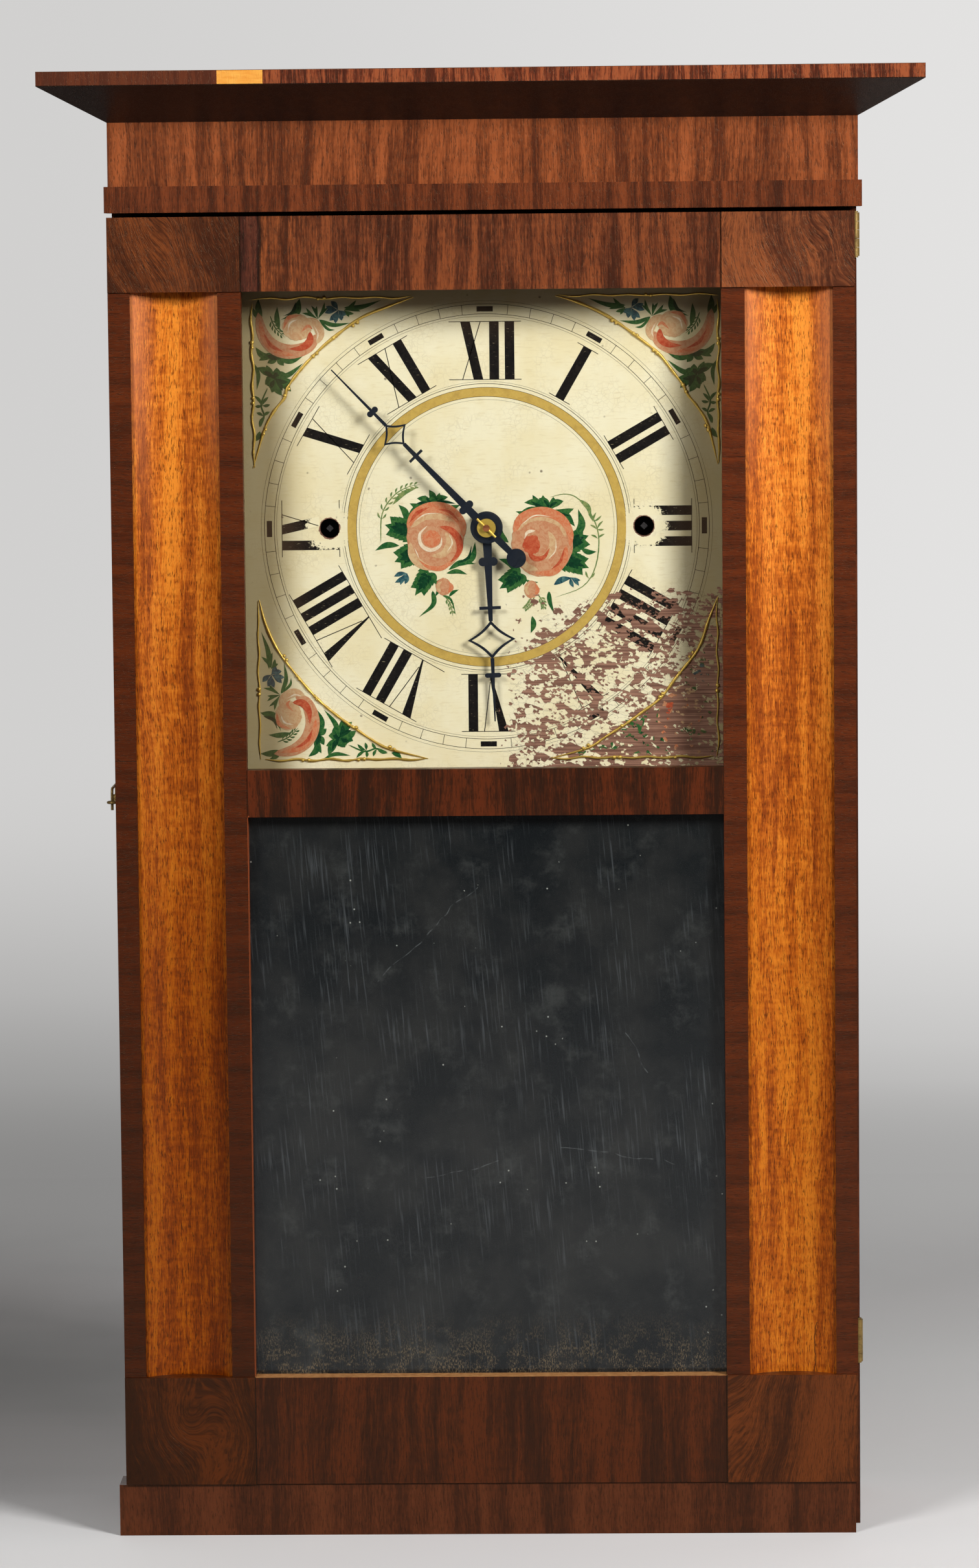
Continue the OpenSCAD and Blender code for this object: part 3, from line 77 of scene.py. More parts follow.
CAMERA_SHIFT_X = 82.4 * MM
CAMERA_AWAY = 3533 * MM
CAMERA_HEIGHT = 834.6 * MM
CAMERA_DOWN = math.radians(5.53)
CAMERA_TURN = math.radians(1.32)
CAMERA_ROLL = math.radians(-0.55)
CAMERA_LENS = 126.35
FILM = 36
FLOOR_BACK = 1.35
LIT_SPOT = Vector((0, 0, 0.75))


def make_camera():
    """Camera at the photograph's place, looking slightly down and to the left."""
    ahead = Vector((-math.sin(CAMERA_TURN), math.cos(CAMERA_TURN), 0))
    right = Vector((math.cos(CAMERA_TURN), math.sin(CAMERA_TURN), 0))
    forward = ahead * math.cos(CAMERA_DOWN) - Vector((0, 0, math.sin(CAMERA_DOWN)))
    up = ahead * math.sin(CAMERA_DOWN) + Vector((0, 0, math.cos(CAMERA_DOWN)))
    local_x = right * math.cos(CAMERA_ROLL) + up * math.sin(CAMERA_ROLL)
    local_y = up * math.cos(CAMERA_ROLL) - right * math.sin(CAMERA_ROLL)
    data = bpy.data.cameras.new("camera")
    data.lens = CAMERA_LENS
    data.sensor_width = FILM
    data.sensor_fit = "AUTO"
    data.clip_end = 50
    camera = bpy.data.objects.new("camera", data)
    bpy.context.scene.collection.objects.link(camera)
    turn = Matrix((local_x, local_y, -forward)).transposed().to_4x4()
    place = Vector((CAMERA_SHIFT_X, FRIEZE_FACE - CAMERA_AWAY, CAMERA_HEIGHT))
    camera.matrix_world = Matrix.Translation(place) @ turn
    bpy.context.scene.camera = camera


def softbox(name, place, width, height, power):
    """A rectangular studio lamp that faces the clock."""
    data = bpy.data.lights.new(name, "AREA")
    data.shape = "RECTANGLE"
    data.size = width
    data.size_y = height
    data.energy = power
    lamp = bpy.data.objects.new(name, data)
    lamp.location = place
    lamp.rotation_euler = (LIT_SPOT - Vector(place)).to_track_quat("-Z", "Y").to_euler()
    bpy.context.scene.collection.objects.link(lamp)


# ------------------------------------------------------------ shader values and nodes

def srgb(r, g, b):
    """A colour written as 0-255 screen values, as the shader wants it."""
    def linear(c):
        c /= 255
        return c / 12.92 if c <= 0.04045 else ((c + 0.055) / 1.055) ** 2.4
    return (linear(r), linear(g), linear(b), 1)


def sign(operation, turned=False):
    """A method that adds one Math node; turned swaps what it reckons with."""
    def method(value, *others):
        order = (*others, value) if turned else (value, *others)
        return reckon(operation, *order)
    return method


class Value:
    """What a socket gives. The signs + - * < > and abs() each add a Math node."""

    def __init__(self, socket):
        self.socket = socket

    __add__ = __radd__ = sign("ADD")
    __sub__ = sign("SUBTRACT")
    __rsub__ = sign("SUBTRACT", turned=True)
    __mul__ = __rmul__ = sign("MULTIPLY")
    __lt__ = sign("LESS_THAN")
    __gt__ = sign("GREATER_THAN")
    __abs__ = sign("ABSOLUTE")


def set_inputs(node, values):
    """Fills or links a node's inputs, found by name or number."""
    for key, value in values.items():
        if isinstance(value, Value):
            node.id_data.links.new(value.socket, node.inputs[key])
        else:
            node.inputs[key].default_value = value


def feed(node, **values):
    """Fills or links inputs whose names are written with _ for their spaces."""
    set_inputs(node, {key.replace("_", " "): value for key, value in values.items()})


def add_node(tree, kind, sockets=None, **options):
    """Adds a node, sets its options and its inputs."""
    node = tree.nodes.new(kind)
    for option, value in options.items():
        setattr(node, option, value)
    set_inputs(node, sockets or {})
    return node


def by_name(node):
    """A node's outputs by their names."""
    return {socket.name: Value(socket) for socket in node.outputs}


def tree_of(values):
    """The node tree that the first socket among some values belongs to."""
    return next(value.socket.id_data for value in values if isinstance(value, Value))


def after(kind, sockets, **options):
    """Adds a node behind the ones that its inputs come from, and gives its outputs."""
    node = add_node(tree_of(sockets.values()), kind, sockets, **options)
    return [Value(socket) for socket in node.outputs]


def reckon(operation, *values):
    return after("ShaderNodeMath", dict(enumerate(values)), operation=operation)[0]


def larger(a, b):
    return reckon("MAXIMUM", a, b)


def away(x, y):
    """Length of a step of x and y."""
    return reckon("SQRT", x * x + y * y)


def mix(share, a, b, blend="MIX"):
    """Colour a, changed to b by a share."""
    return after("ShaderNodeMix", {0: share, 6: a, 7: b}, data_type="RGBA", blend_type=blend,
                 clamp_factor=True)[2]


def tinted(colour, tint):
    return mix(1.0, colour, tint, "MULTIPLY")


def remap(value, low, high, out_low=0, out_high=1):
    """Smooth clamp of a value from one range to another."""
    return after("ShaderNodeMapRange", {0: value, 1: low, 2: high, 3: out_low, 4: out_high},
                 interpolation_type="SMOOTHSTEP", clamp=True)[0]


def scaled(vector, scale, shift=(0, 0, 0)):
    return after("ShaderNodeMapping", {"Vector": vector, "Scale": scale, "Location": shift})[0]


def noise(vector, scale, detail=2, rough=0.5, distortion=0):
    """Soft noise; a scale of three numbers stretches it along the axes."""
    if isinstance(scale, tuple):
        vector, scale = scaled(vector, scale), 1
    return after("ShaderNodeTexNoise", {"Vector": vector, "Scale": scale, "Detail": detail,
                                        "Roughness": rough, "Distortion": distortion})[0]


def cells(vector, scale, feature="F1", jitter=1):
    """Distance to a cell's middle or edge, and a colour for each cell."""
    return after("ShaderNodeTexVoronoi", {"Vector": vector, "Scale": scale, "Randomness": jitter},
                 feature=feature)[:2]


def colour_run(value, stops):
    """Colour ramp with (place, colour) stops."""
    node = add_node(tree_of([value]), "ShaderNodeValToRGB", {0: value})
    ramp = node.color_ramp
    ramp.elements[0].position, ramp.elements[0].color = stops[0]
    ramp.elements[1].position, ramp.elements[1].color = stops[-1]
    for place, colour in stops[1:-1]:
        ramp.elements.new(place).color = colour
    return Value(node.outputs[0])


def split(vector):
    return after("ShaderNodeSeparateXYZ", {0: vector})


def join(x, y, z):
    return after("ShaderNodeCombineXYZ", {0: x, 1: y, 2: z})[0]


def bump(height, distance, strength=1):
    return after("ShaderNodeBump", {"Height": height, "Distance": distance,
                                    "Strength": strength})[0]


def flattened(where):
    """x and z of a place, and the place without its depth."""
    x, _, z = split(where)
    return x, z, join(x, 0, z)


def place_of(shader):
    """Coordinates on the clock in metres, which ride with the piece."""
    return by_name(shader.id_data.nodes.new("ShaderNodeTexCoord"))["Object"]


EFFECTS = {}


def effect(name, inputs, outputs, build):
    """A node group with named sockets, built once: inputs are names with their defaults."""
    tree = bpy.data.node_groups.new(name, "ShaderNodeTree")
    for socket, value in inputs.items():
        kind = {tuple: "NodeSocketVector", float: "NodeSocketFloat"}[type(value)]
        tree.interface.new_socket(socket, in_out="INPUT", socket_type=kind).default_value = value
    for socket in outputs:
        tree.interface.new_socket(socket, in_out="OUTPUT", socket_type="NodeSocketFloat")
    start = tree.nodes.new("NodeGroupInput")
    end = tree.nodes.new("NodeGroupOutput")
    set_inputs(end, build(by_name(start)))
    EFFECTS[name] = tree


def use_effect(name, **values):
    node = add_node(tree_of(values.values()), "ShaderNodeGroup", node_tree=EFFECTS[name])
    feed(node, **values)
    return by_name(node)


# ------------------------------------------------------------ effects

def build_figure(given):
    """Figure of sliced wood, with the grain along the vector's Z."""
    where = given["Vector"]
    x, y, z = split(where)
    bend = noise(where, (9, 9, 5))
    x = (bend - 0.5) * given["Bend"] + x
    across = x * given["Streaks"]
    length = z * (given["Streaks"] * 0.05)
    depth = y * given["Streaks"]
    streaks = noise(join(across, depth, length), 1, 6, 0.66)
    bent = join(x, y, z)
    fibres = noise(bent, (1500, 1500, 60), 3, 0.65)
    flecks = noise(bent, (900, 900, 190), 2, 0.6)
    fine = join(x * given["Pores"], y * given["Pores"], z * (given["Pores"] * 0.15))
    pores = remap(noise(fine, 1, 2, 0.6), 0.54, 0.66)
    cross = join(x * (given["Ripples"] * 0.2), y * given["Ripples"], z * given["Ripples"])
    ripples = noise(cross, 1, 3, 0.55, 0.6)
    fibres = fibres + flecks * 0.6
    return {"Streaks": streaks, "Pores": pores, "Ripples": ripples, "Fibres": fibres - 0.8}


def build_paint_loss(given):
    """Where the dial's paint has flaked off, lower right of the hands."""
    x, _, z = split(given["Vector"])
    radius = away(x, z)
    place = remap(x, 0.004, 0.036) * remap(z * -1, 0.036, 0.056) * remap(x, 0.158, 0.186, 1, 0.1)
    share = place * (remap(radius, 0.076, 0.086, 0.22, 1) * 0.5 + remap(radius, 0.154, 0.17) * 0.36)
    drift = noise(given["Vector"], 70) - 0.5
    share = drift * 0.9 * share + share
    shake = noise(given["Vector"], 620, 2, 0.6)
    shaken = join(shake * 0.0032 + x, 0, shake * -0.0026 + z)
    flakes = scaled(shaken, (190, 1, 310))
    _, big = cells(flakes, 1, jitter=0.9)
    _, small = cells(scaled(shaken, (560, 1, 820)), 1)
    small_chance, small_kept, _ = split(small)
    flaked = larger((split(big)[0] < share) * (small_kept > 0.12), small_chance < share * 0.24)
    edge, _ = cells(flakes, 1, "DISTANCE_TO_EDGE", jitter=0.9)
    cracks = remap(edge, 0.01, 0.05, 1, 0) * (share > 0.12)
    from_hole = away(abs(x) - WINDING_OUT, z)
    ragged = noise(given["Vector"], 420, 3, 0.7) * -0.0022 + from_hole
    chipped = ragged < 0.0059
    bare = larger(flaked, chipped)
    rubbed = noise(given["Vector"], 700, 3, 0.75) > remap(from_hole, 0.007, 0.021, 0.2, 0.75)
    return {"Bare": bare, "Rim": larger(cracks - bare, 0), "Rubbed": rubbed}


def build_crackle(given):
    """Fine net of cracks in old paint."""
    where = after("ShaderNodeVectorMath", {0: given["Vector"], 3: given["Cells"]},
                  operation="SCALE")[0]
    net, _ = cells(where, 1, "DISTANCE_TO_EDGE", jitter=0.75)
    lines = remap(net, 0.015, 0.07, 1, 0)
    fade = remap(noise(where, 0.11), 0.45, 0.62)
    return {"Lines": lines * fade}


def build_grime(given):
    """Cloudy dirt and sparse specks."""
    cloud = noise(given["Vector"], 22, 5, 0.6)
    dots, _ = cells(given["Vector"], 130)
    pick = noise(given["Vector"], 75, 1)
    specks = remap(dots, 0.06, 0.16, 1, 0) * remap(pick, 0.6, 0.66)
    return {"Cloud": cloud, "Specks": specks}


def make_effects():
    place = (0.0, 0.0, 0.0)
    effect("wood_figure", {"Vector": place, "Streaks": 90.0, "Pores": 1500.0, "Ripples": 160.0,
                           "Bend": 0.02}, ["Streaks", "Pores", "Ripples", "Fibres"], build_figure)
    effect("paint_loss", {"Vector": place}, ["Bare", "Rim", "Rubbed"], build_paint_loss)
    effect("crackle", {"Vector": place, "Cells": 260.0}, ["Lines"], build_crackle)
    effect("grime", {"Vector": place}, ["Cloud", "Specks"], build_grime)


# ------------------------------------------------------------ finishes

def new_finish(name, **constants):
    """A material with a shader whose plain numbers are set on its own sockets."""
    material = bpy.data.materials.new(name)
    material.use_nodes = True
    shader = material.node_tree.nodes["Principled BSDF"]
    feed(shader, **constants)
    return material, shader


def darker(colour, share):
    """A colour at a share of its brightness."""
    return (*(c * share for c in colour[:3]), 1)


def turned(where, grain):
    """The vector turned so that the grain runs along its Z."""
    x, y, z = split(where)
    return {"z": where, "x": join(z, y, x), "y": join(x, z, y)}[grain]


def veneer(name, dark, mid, light, grain="z", shift=(0, 0, 0), streaks=90.0, ripples=160.0,
           ripple_mix=0.12, bend=0.02, pore_mix=0.5, contrast=0.2, fibre_mix=0.45, marks=None):
    """Polished mahogany veneer: streaks, fibres, cross figure, open pores and a soft gloss."""
    material, shader = new_finish(name, Coat_Weight=0.05, Coat_Roughness=0.22,
                                  Specular_IOR_Level=0.3, Specular_Tint=(1, 0.7, 0.42, 1))
    where = scaled(place_of(shader), (1, 1, 1), shift)
    figure = use_effect("wood_figure", Vector=turned(where, grain), Streaks=streaks,
                        Ripples=ripples, Bend=bend)
    value = figure["Fibres"] * fibre_mix + figure["Streaks"]
    value = (figure["Ripples"] - 0.5) * ripple_mix + value
    colour = colour_run(remap(value, 0.5 - contrast, 0.5 + contrast),
                        [(0.0, dark), (0.5, mid), (1.0, light)])
    colour = mix(figure["Pores"] * pore_mix, colour, darker(dark, 0.3))
    if marks:
        colour = marks(place_of(shader), colour)
    height = figure["Fibres"] * 0.5 - figure["Pores"]
    feed(shader, Base_Color=colour, Normal=bump(height, 0.06 * MM),
         Roughness=remap(figure["Streaks"], 0.2, 0.8, 0.41, 0.29))
    return material


def bare_wood(name, dark, light, grain="z", shift=(0, 0, 0), streaks=160.0, rough=0.62,
              marks=None):
    """Unpolished inside wood, with dust and darker growth lines."""
    material, shader = new_finish(name, Specular_IOR_Level=0.25)
    where = scaled(place_of(shader), (1, 1, 1), shift)
    figure = use_effect("wood_figure", Vector=turned(where, grain), Streaks=streaks)
    dirt = use_effect("grime", Vector=where)
    colour = mix(remap(figure["Streaks"], 0.3, 0.7), dark, light)
    colour = mix(figure["Pores"] * 0.3, colour, darker(dark, 0.45))
    colour = mix(remap(dirt["Cloud"], 0.5, 0.8, 0, 0.35), colour, darker(dark, 0.5))
    if marks:
        colour = marks(place_of(shader), colour)
    height = figure["Streaks"] * 0.6 - figure["Pores"]
    feed(shader, Base_Color=colour, Normal=bump(height, 0.12 * MM),
         Roughness=remap(dirt["Cloud"], 0.3, 0.7, rough - 0.08, rough + 0.1))
    return material


def aged_metal(name, clean, tarnish, metallic, rough, spots, scale=60.0, pits=0.04 * MM):
    """Metal with cloudy tarnish, dull spots and fine pits."""
    material, shader = new_finish(name, Metallic=metallic)
    where = place_of(shader)
    cloud = noise(where, scale, 5, 0.65)
    fine = noise(where, scale * 14, 2, 0.6)
    dull = remap(cloud + fine * 0.25, 0.5, 0.85)
    feed(shader, Base_Color=mix(dull * spots, clean, tarnish), Normal=bump(fine, pits),
         Roughness=remap(dull, 0, 1, rough, rough + 0.25))
    return material


def bare_ground(where):
    """The brown-pink wood and old sizing that shows where paint is gone."""
    lines = noise(where, (26, 26, 1400), 3, 0.6)
    cloud = noise(where, (60, 60, 60), 3, 0.6)
    colour = mix(remap(lines, 0.35, 0.7), srgb(120, 84, 68), srgb(176, 132, 108))
    return mix(remap(cloud, 0.5, 0.75, 0, 0.4), colour, srgb(98, 72, 58))


def from_hands(shader):
    """Coordinates measured from the middle of the dial."""
    return scaled(place_of(shader), (1, 1, 1), (-HANDS.x, 0, -HANDS.z))


def paint_over_loss(shader, where, colour, rough, worn_at_holes=False):
    """Joins a paint colour to the bare ground where it has flaked, and links both."""
    loss = use_effect("paint_loss", Vector=where)
    if worn_at_holes:
        colour = mix(loss["Rubbed"], colour, srgb(252, 241, 198))
    colour = mix(loss["Rim"] * 0.3, colour, srgb(92, 66, 50))
    feed(shader, Base_Color=mix(loss["Bare"], colour, bare_ground(where)),
         Roughness=remap(loss["Bare"], 0, 1, rough, 0.75))
    return loss


def dial_soil_and_shade(x, z, most):
    """Grime that gathered along the dial's sides and head, and painted shade where the door's frame
    shadows them.
    """
    aside = abs(x)
    sides = remap(aside, 0.11, 0.142, 0, most) * remap(aside, 0.157, 0.166, 1, 0.45)
    return larger(sides, remap(z, 0.112, 0.156, 0, most * 0.8))


def dial_paint():
    """Old cream oil paint: fine cracks, stains, specks, the flaked patch, and grime with painted
    shade along the sides and head.
    """
    material, shader = new_finish("dial_cream_paint", Specular_IOR_Level=0.2)
    where = from_hands(shader)
    x, z, flat = flattened(where)
    dirt = use_effect("grime", Vector=flat)
    net = use_effect("crackle", Vector=flat, Cells=300.0)
    weave = noise(flat, (120, 1, 900))
    colour = mix(remap(dirt["Cloud"], 0.35, 0.7), srgb(255, 246, 208), srgb(248, 234, 186))
    colour = mix(remap(weave, 0.52, 0.72, 0, 0.3), colour, srgb(226, 206, 152))
    # Grime, and painted shade from the door's frame, along the sides and head.
    colour = mix(dial_soil_and_shade(x, z, 0.78), colour, srgb(146, 126, 78))
    colour = mix(net["Lines"] * 0.13, colour, srgb(150, 126, 84))
    colour = mix(dirt["Specks"] * 0.75, colour, srgb(88, 66, 44))
    loss = paint_over_loss(shader, where, colour, 0.42)
    feed(shader, Normal=bump(loss["Bare"] * -1 - net["Lines"] * 0.1, 0.18 * MM))
    return material


def art_paint(name, main, second, worn, rough=0.4):
    """Brushed oil colour on the dial, with the brush's streaks, wear and flaking, and grime with
    painted shade towards the dial's edges.
    """
    material, shader = new_finish(name, Specular_IOR_Level=0.12)
    where = from_hands(shader)
    x, z, flat = flattened(where)
    brush = noise(flat, 315, 3, 0.7, 1.2)
    colour = mix(remap(brush, 0.35, 0.68), main, second)
    rubbed = noise(flat, (240, 1, 1500), 2, 0.7)
    colour = mix(remap(rubbed, 0.64, 0.72, 0, worn), colour, srgb(214, 198, 154))
    # Grime, and painted shade from the door's frame, towards the dial's edges.
    colour = mix(dial_soil_and_shade(x, z, 0.5), colour, srgb(96, 72, 50))
    paint_over_loss(shader, where, colour, rough, True)
    return material


def gilding(name, rough, metallic):
    """Old gold leaf or bronze powder, rubbed in places."""
    material, shader = new_finish(name, Metallic=metallic)
    where = from_hands(shader)
    cloud = noise(where, 160, 4, 0.65)
    fine = noise(where, 1300, 2, 0.6)
    colour = mix(remap(cloud, 0.4, 0.75, 0, 0.3), srgb(214, 178, 84), srgb(132, 106, 48))
    colour = mix(remap(fine, 0.6, 0.75, 0, 0.35), colour, srgb(240, 214, 130))
    feed(shader, Base_Color=colour, Normal=bump(fine, 0.04 * MM),
         Roughness=remap(cloud, 0.3, 0.7, rough, rough + 0.2))
    return material


# Fine scratches: lean in radians, lower end's x and z, length.
MIRROR_SCRATCHES = ((0.75, -0.075, 0.365, 0.09), (-0.12, 0.045, 0.255, 0.075),
                    (0.2, -0.045, 0.236, 0.05), (-1.1, 0.09, 0.33, 0.03))


def old_mirror():
    """Old mirror glass whose dark greys are partly lost silver and partly a painted reflection of
    the dark room: vertical streaks, scratches, specks and brown bloom at the foot.
    """
    material, shader = new_finish("old_mirror_glass", Specular_IOR_Level=0.3, Roughness=0.16)
    x, z, flat = flattened(place_of(shader))
    lean = z * 0.085 + x
    rain = noise(join(lean, 0, z), (620, 1, 26), 2, 0.6)
    bands = noise(flat, (16, 1, 10), 3, 0.6)
    cloud = noise(flat, 14, 5, 0.6)
    # Painted reflection: the dark greys stand in for the dark room the mirror shows, over its lost
    # silver.
    colour = mix(remap(cloud, 0.38, 0.66), srgb(16, 20, 22), srgb(38, 39, 38))
    smoke = noise(flat, 36, 5, 0.7)
    colour = mix(remap(smoke, 0.5, 0.74, 0, 0.6), colour, srgb(64, 66, 64))
    hairs = remap(rain, 0.52, 0.72) * remap(bands, 0.42, 0.6)
    colour = mix(hairs * 0.5, colour, srgb(84, 88, 90))
    grain = noise(flat, 2300, 2, 0.7)
    colour = mix(remap(grain, 0.58, 0.76, 0, 0.6), colour, srgb(90, 92, 90))
    wobble = noise(flat, 30) * 0.012
    broken = remap(noise(flat, 160), 0.4, 0.62)
    for turn, low_x, low_z, length in MIRROR_SCRATCHES:
        run = (x - low_x) * math.cos(turn) + (z - low_z) * math.sin(turn)
        off = (z - low_z) * math.cos(turn) - (x - low_x) * math.sin(turn) - 0.004 + wobble
        line = (abs(off) < 0.3 * MM) * (abs(run - length / 2) < length / 2) * broken
        colour = mix(line * 0.45, colour, srgb(104, 108, 108))
    foot = remap(z, MIRROR_FOOT + 0.002, MIRROR_FOOT + 0.045, 1, 0)
    rust = remap(noise(flat, 60, 5, 0.75), 0.42, 0.58)
    fine_rust = remap(noise(flat, (1400, 1, 500), 2, 0.7), 0.48, 0.6)
    colour = mix(foot * rust * fine_rust * 0.7, colour, srgb(122, 106, 80))
    dots, _ = cells(flat, 170)
    spots = remap(dots, 0.05, 0.12, 1, 0) * (noise(flat, 37) > 0.6)
    feed(shader, Base_Color=mix(spots * 0.85, colour, srgb(170, 172, 162)))
    return material


def window_glass():
    """Thin clear glass that only shows by its gloss."""
    material, shader = new_finish("old_window_glass", Roughness=0.03, Alpha=0.05,
                                  Specular_IOR_Level=0.5, Base_Color=srgb(16, 18, 16))
    waves = noise(place_of(shader), 11, 2)
    feed(shader, Normal=bump(waves, 0.6 * MM, 0.3))
    material.surface_render_method = "BLENDED"
    return material


def linen_cord():
    """Twisted linen, greyed with age."""
    material, shader = new_finish("linen_cord", Roughness=0.85, Sheen_Weight=0.2)
    where = place_of(shader)
    fibres = noise(where, 2400, 3, 0.7)
    soil = noise(where, 40, 3)
    colour = mix(remap(fibres, 0.35, 0.7), srgb(120, 102, 72), srgb(178, 160, 122))
    colour = mix(remap(soil, 0.45, 0.75, 0, 0.5), colour, srgb(84, 70, 50))
    feed(shader, Base_Color=colour, Normal=bump(fibres, 0.1 * MM))
    return material


# ------------------------------------------------------------ making pieces

def new_piece(name, shape, material):
    """An object of one material with the faces that an outline has collected."""
    mesh = shape.mesh(name)
    mesh.materials.append(material)
    piece = bpy.data.objects.new(name, mesh)
    bpy.context.scene.collection.objects.link(piece)
    return piece


def finish_piece(name, shape, material, body, smooth=True):
    """Puts a piece on the clock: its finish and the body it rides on."""
    piece = new_piece(name, shape, material)
    if smooth:
        faces = piece.data.polygons
        faces.foreach_set("use_smooth", [True] * len(faces))
    if body:
        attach(piece, body)
    return piece


class Outline:
    """Collects the faces of one piece before it becomes a mesh."""

    def __init__(self):
        self.points = []
        self.faces = []

    def grid(self, rows, closed=False):
        """Skin over rows of points that all have the same count."""
        first = len(self.points)
        width = len(rows[0])
        for row in rows:
            self.points.extend(row)
        steps = width if closed else width - 1
        for r in range(len(rows) - 1):
            for c in range(steps):
                a = first + r * width + c
                b = first + r * width + (c + 1) % width
                self.faces.append((a, b, b + width, a + width))

    def fan(self, ring):
        """One flat face over a ring of points."""
        first = len(self.points)
        self.points.extend(ring)
        self.faces.append(tuple(range(first, first + len(ring))))

    def mesh(self, name):
        mesh = bpy.data.meshes.new(name)
        mesh.from_pydata([tuple(p) for p in self.points], [], self.faces)
        mesh.validate()
        mesh.update()
        return mesh


def along(points, t):
    """Point at share t of a list of points, with straight runs between them."""
    place = t * (len(points) - 1)
    i = min(int(place), len(points) - 2)
    return points[i].lerp(points[i + 1], place - i)


def curve_through(points, steps):
    """Smooth curve through a few points."""
    ends = [points[0] * 2 - points[1]] + list(points) + [points[-1] * 2 - points[-2]]
    out = []
    for i in range(1, len(ends) - 2):
        a, b, c, d = ends[i - 1:i + 3]
        for k in range(steps):
            t = k / steps
            out.append(0.5 * ((2 * b) + (c - a) * t + (2 * a - 5 * b + 4 * c - d) * t * t
                              + (3 * b - a - 3 * c + d) * t ** 3))
    out.append(points[-1].copy())
    return out


def sweep(shape, points, radii, sides):
    """Round tube along points, with a radius for each point."""
    side = Vector((0, 1, 0))
    rows = []
    for i, p in enumerate(points):
        ahead = (points[min(i + 1, len(points) - 1)] - points[max(i - 1, 0)]).normalized()
        across = ahead.cross(side)
        if across.length < 0.2:
            side = Vector((1, 0, 0))
            across = ahead.cross(side)
        across.normalize()
        side = across.cross(ahead).normalized()
        rows.append([p + radii[i] * (across * math.cos(a) + side * math.sin(a))
                     for a in (2 * math.pi * k / sides for k in range(sides))])
    shape.grid(rows, closed=True)
    shape.fan(list(reversed(rows[0])))
    shape.fan(rows[-1])


# ------------------------------------------------------------ the painted dial

RING_STEPS = 240
INK_LIFT = 0.05 * MM
ART_LIFT = 0.04 * MM


def on_dial(x, z, lift=0.0):
    """Point on the dial's face, given in mm from the hands, raised towards the front."""
    return Vector((HANDS.x + x * MM, DIAL_FACE - lift, HANDS.z + z * MM))


def paint_piece(name, shape, paint, smooth=False):
    """Something painted or gilded on the dial, as a piece of its own."""
    finish_piece(name, shape, paint, "case", smooth)


def dial_turn(radius, degrees):
    """x and z in mm at an angle clockwise from twelve."""
    a = math.radians(degrees)
    return radius * math.sin(a), radius * math.cos(a)


def flat_ring(shape, inner, outer, lift):
    """Flat band between two radii in mm."""
    rows = []
    for i in range(RING_STEPS + 1):
        a = 360 * i / RING_STEPS
        rows.append([on_dial(*dial_turn(inner, a), lift), on_dial(*dial_turn(outer, a), lift)])
    shape.grid(rows)


HOLE_CLEARANCE = 6.9


def clear_runs(x0, x1, x0_top, x1_top, low, high):
    """Shares of a stroke's length that don't cross the winding hole."""
    runs = []
    start = None
    steps = 60
    for i in range(steps + 1):
        t = i / steps
        off = low + (high - low) * t - WINDING_OUT / MM
        half = math.sqrt(max(HOLE_CLEARANCE ** 2 - off ** 2, 0))
        left, right = x0 + (x0_top - x0) * t, x1 + (x1_top - x1) * t
        clear = half == 0 or right < -half or left > half
        if clear and start is None:
            start = t
        if start is not None and (not clear or i == steps):
            if t > start:
                runs.append((start, t))
            start = None
    return runs


def radial_block(shape, degrees, x0, x1, low, high, x0_top=None, x1_top=None):
    """Inked block on a spoke of the dial, from x0 to x1 across it and from low to high along it.

    It leaves out the winding holes, which cut into the numerals at three and at nine.
    """
    x0_top = x0 if x0_top is None else x0_top
    x1_top = x1 if x1_top is None else x1_top
    a = math.radians(degrees)
    runs = [(0, 1)]
    if degrees in (90, 270) and high - low > THICK:
        runs = clear_runs(x0, x1, x0_top, x1_top, low, high)
    for begin, end in runs:
        ring = []
        for near, far, t in ((x0, x0_top, begin), (x1, x1_top, begin), (x1, x1_top, end),
                             (x0, x0_top, end)):
            x = near + (far - near) * t
            r = low + (high - low) * t
            ring.append(on_dial(x * math.cos(a) + r * math.sin(a),
                                r * math.cos(a) - x * math.sin(a), INK_LIFT))
        shape.fan(ring)


NUMERAL_LOW = 95.8
NUMERAL_HIGH = 132.7
THICK = 6.2
THIN = 0.55
BETWEEN = 10.0
V_WIDTH = 12.5
X_WIDTH = 14.5
SERIF = 0.45
SERIF_OVER = 4.5


def letter_width(letter):
    return {"I": 0, "V": V_WIDTH, "X": X_WIDTH}[letter]


def draw_letter(shape, letter, degrees, x):
    """One letter with its middle at x: thick bars straight, thin strokes as hairlines."""
    low, high = NUMERAL_LOW, NUMERAL_HIGH
    if letter == "I":
        radial_block(shape, degrees, x - THICK / 2, x + THICK / 2, low, high)
    if letter == "V":
        foot = x + 0.18 * V_WIDTH
        radial_block(shape, degrees, foot - 0.5, foot + 0.5, low, high,
                     x - V_WIDTH / 2 - THICK / 2, x - V_WIDTH / 2 + THICK / 2)
        radial_block(shape, degrees, foot - THIN / 2, foot + THIN / 2, low + 5, high,
                     x + V_WIDTH / 2 - THIN / 2, x + V_WIDTH / 2 + THIN / 2)
    if letter == "X":
        half = X_WIDTH / 2
        radial_block(shape, degrees, x + half - THICK, x + half, low, high,
                     x - half, x - half + THICK)
        radial_block(shape, degrees, x - half + 1, x - half + 1 + THIN, low, high,
                     x + half - 2, x + half - 2 + THIN)


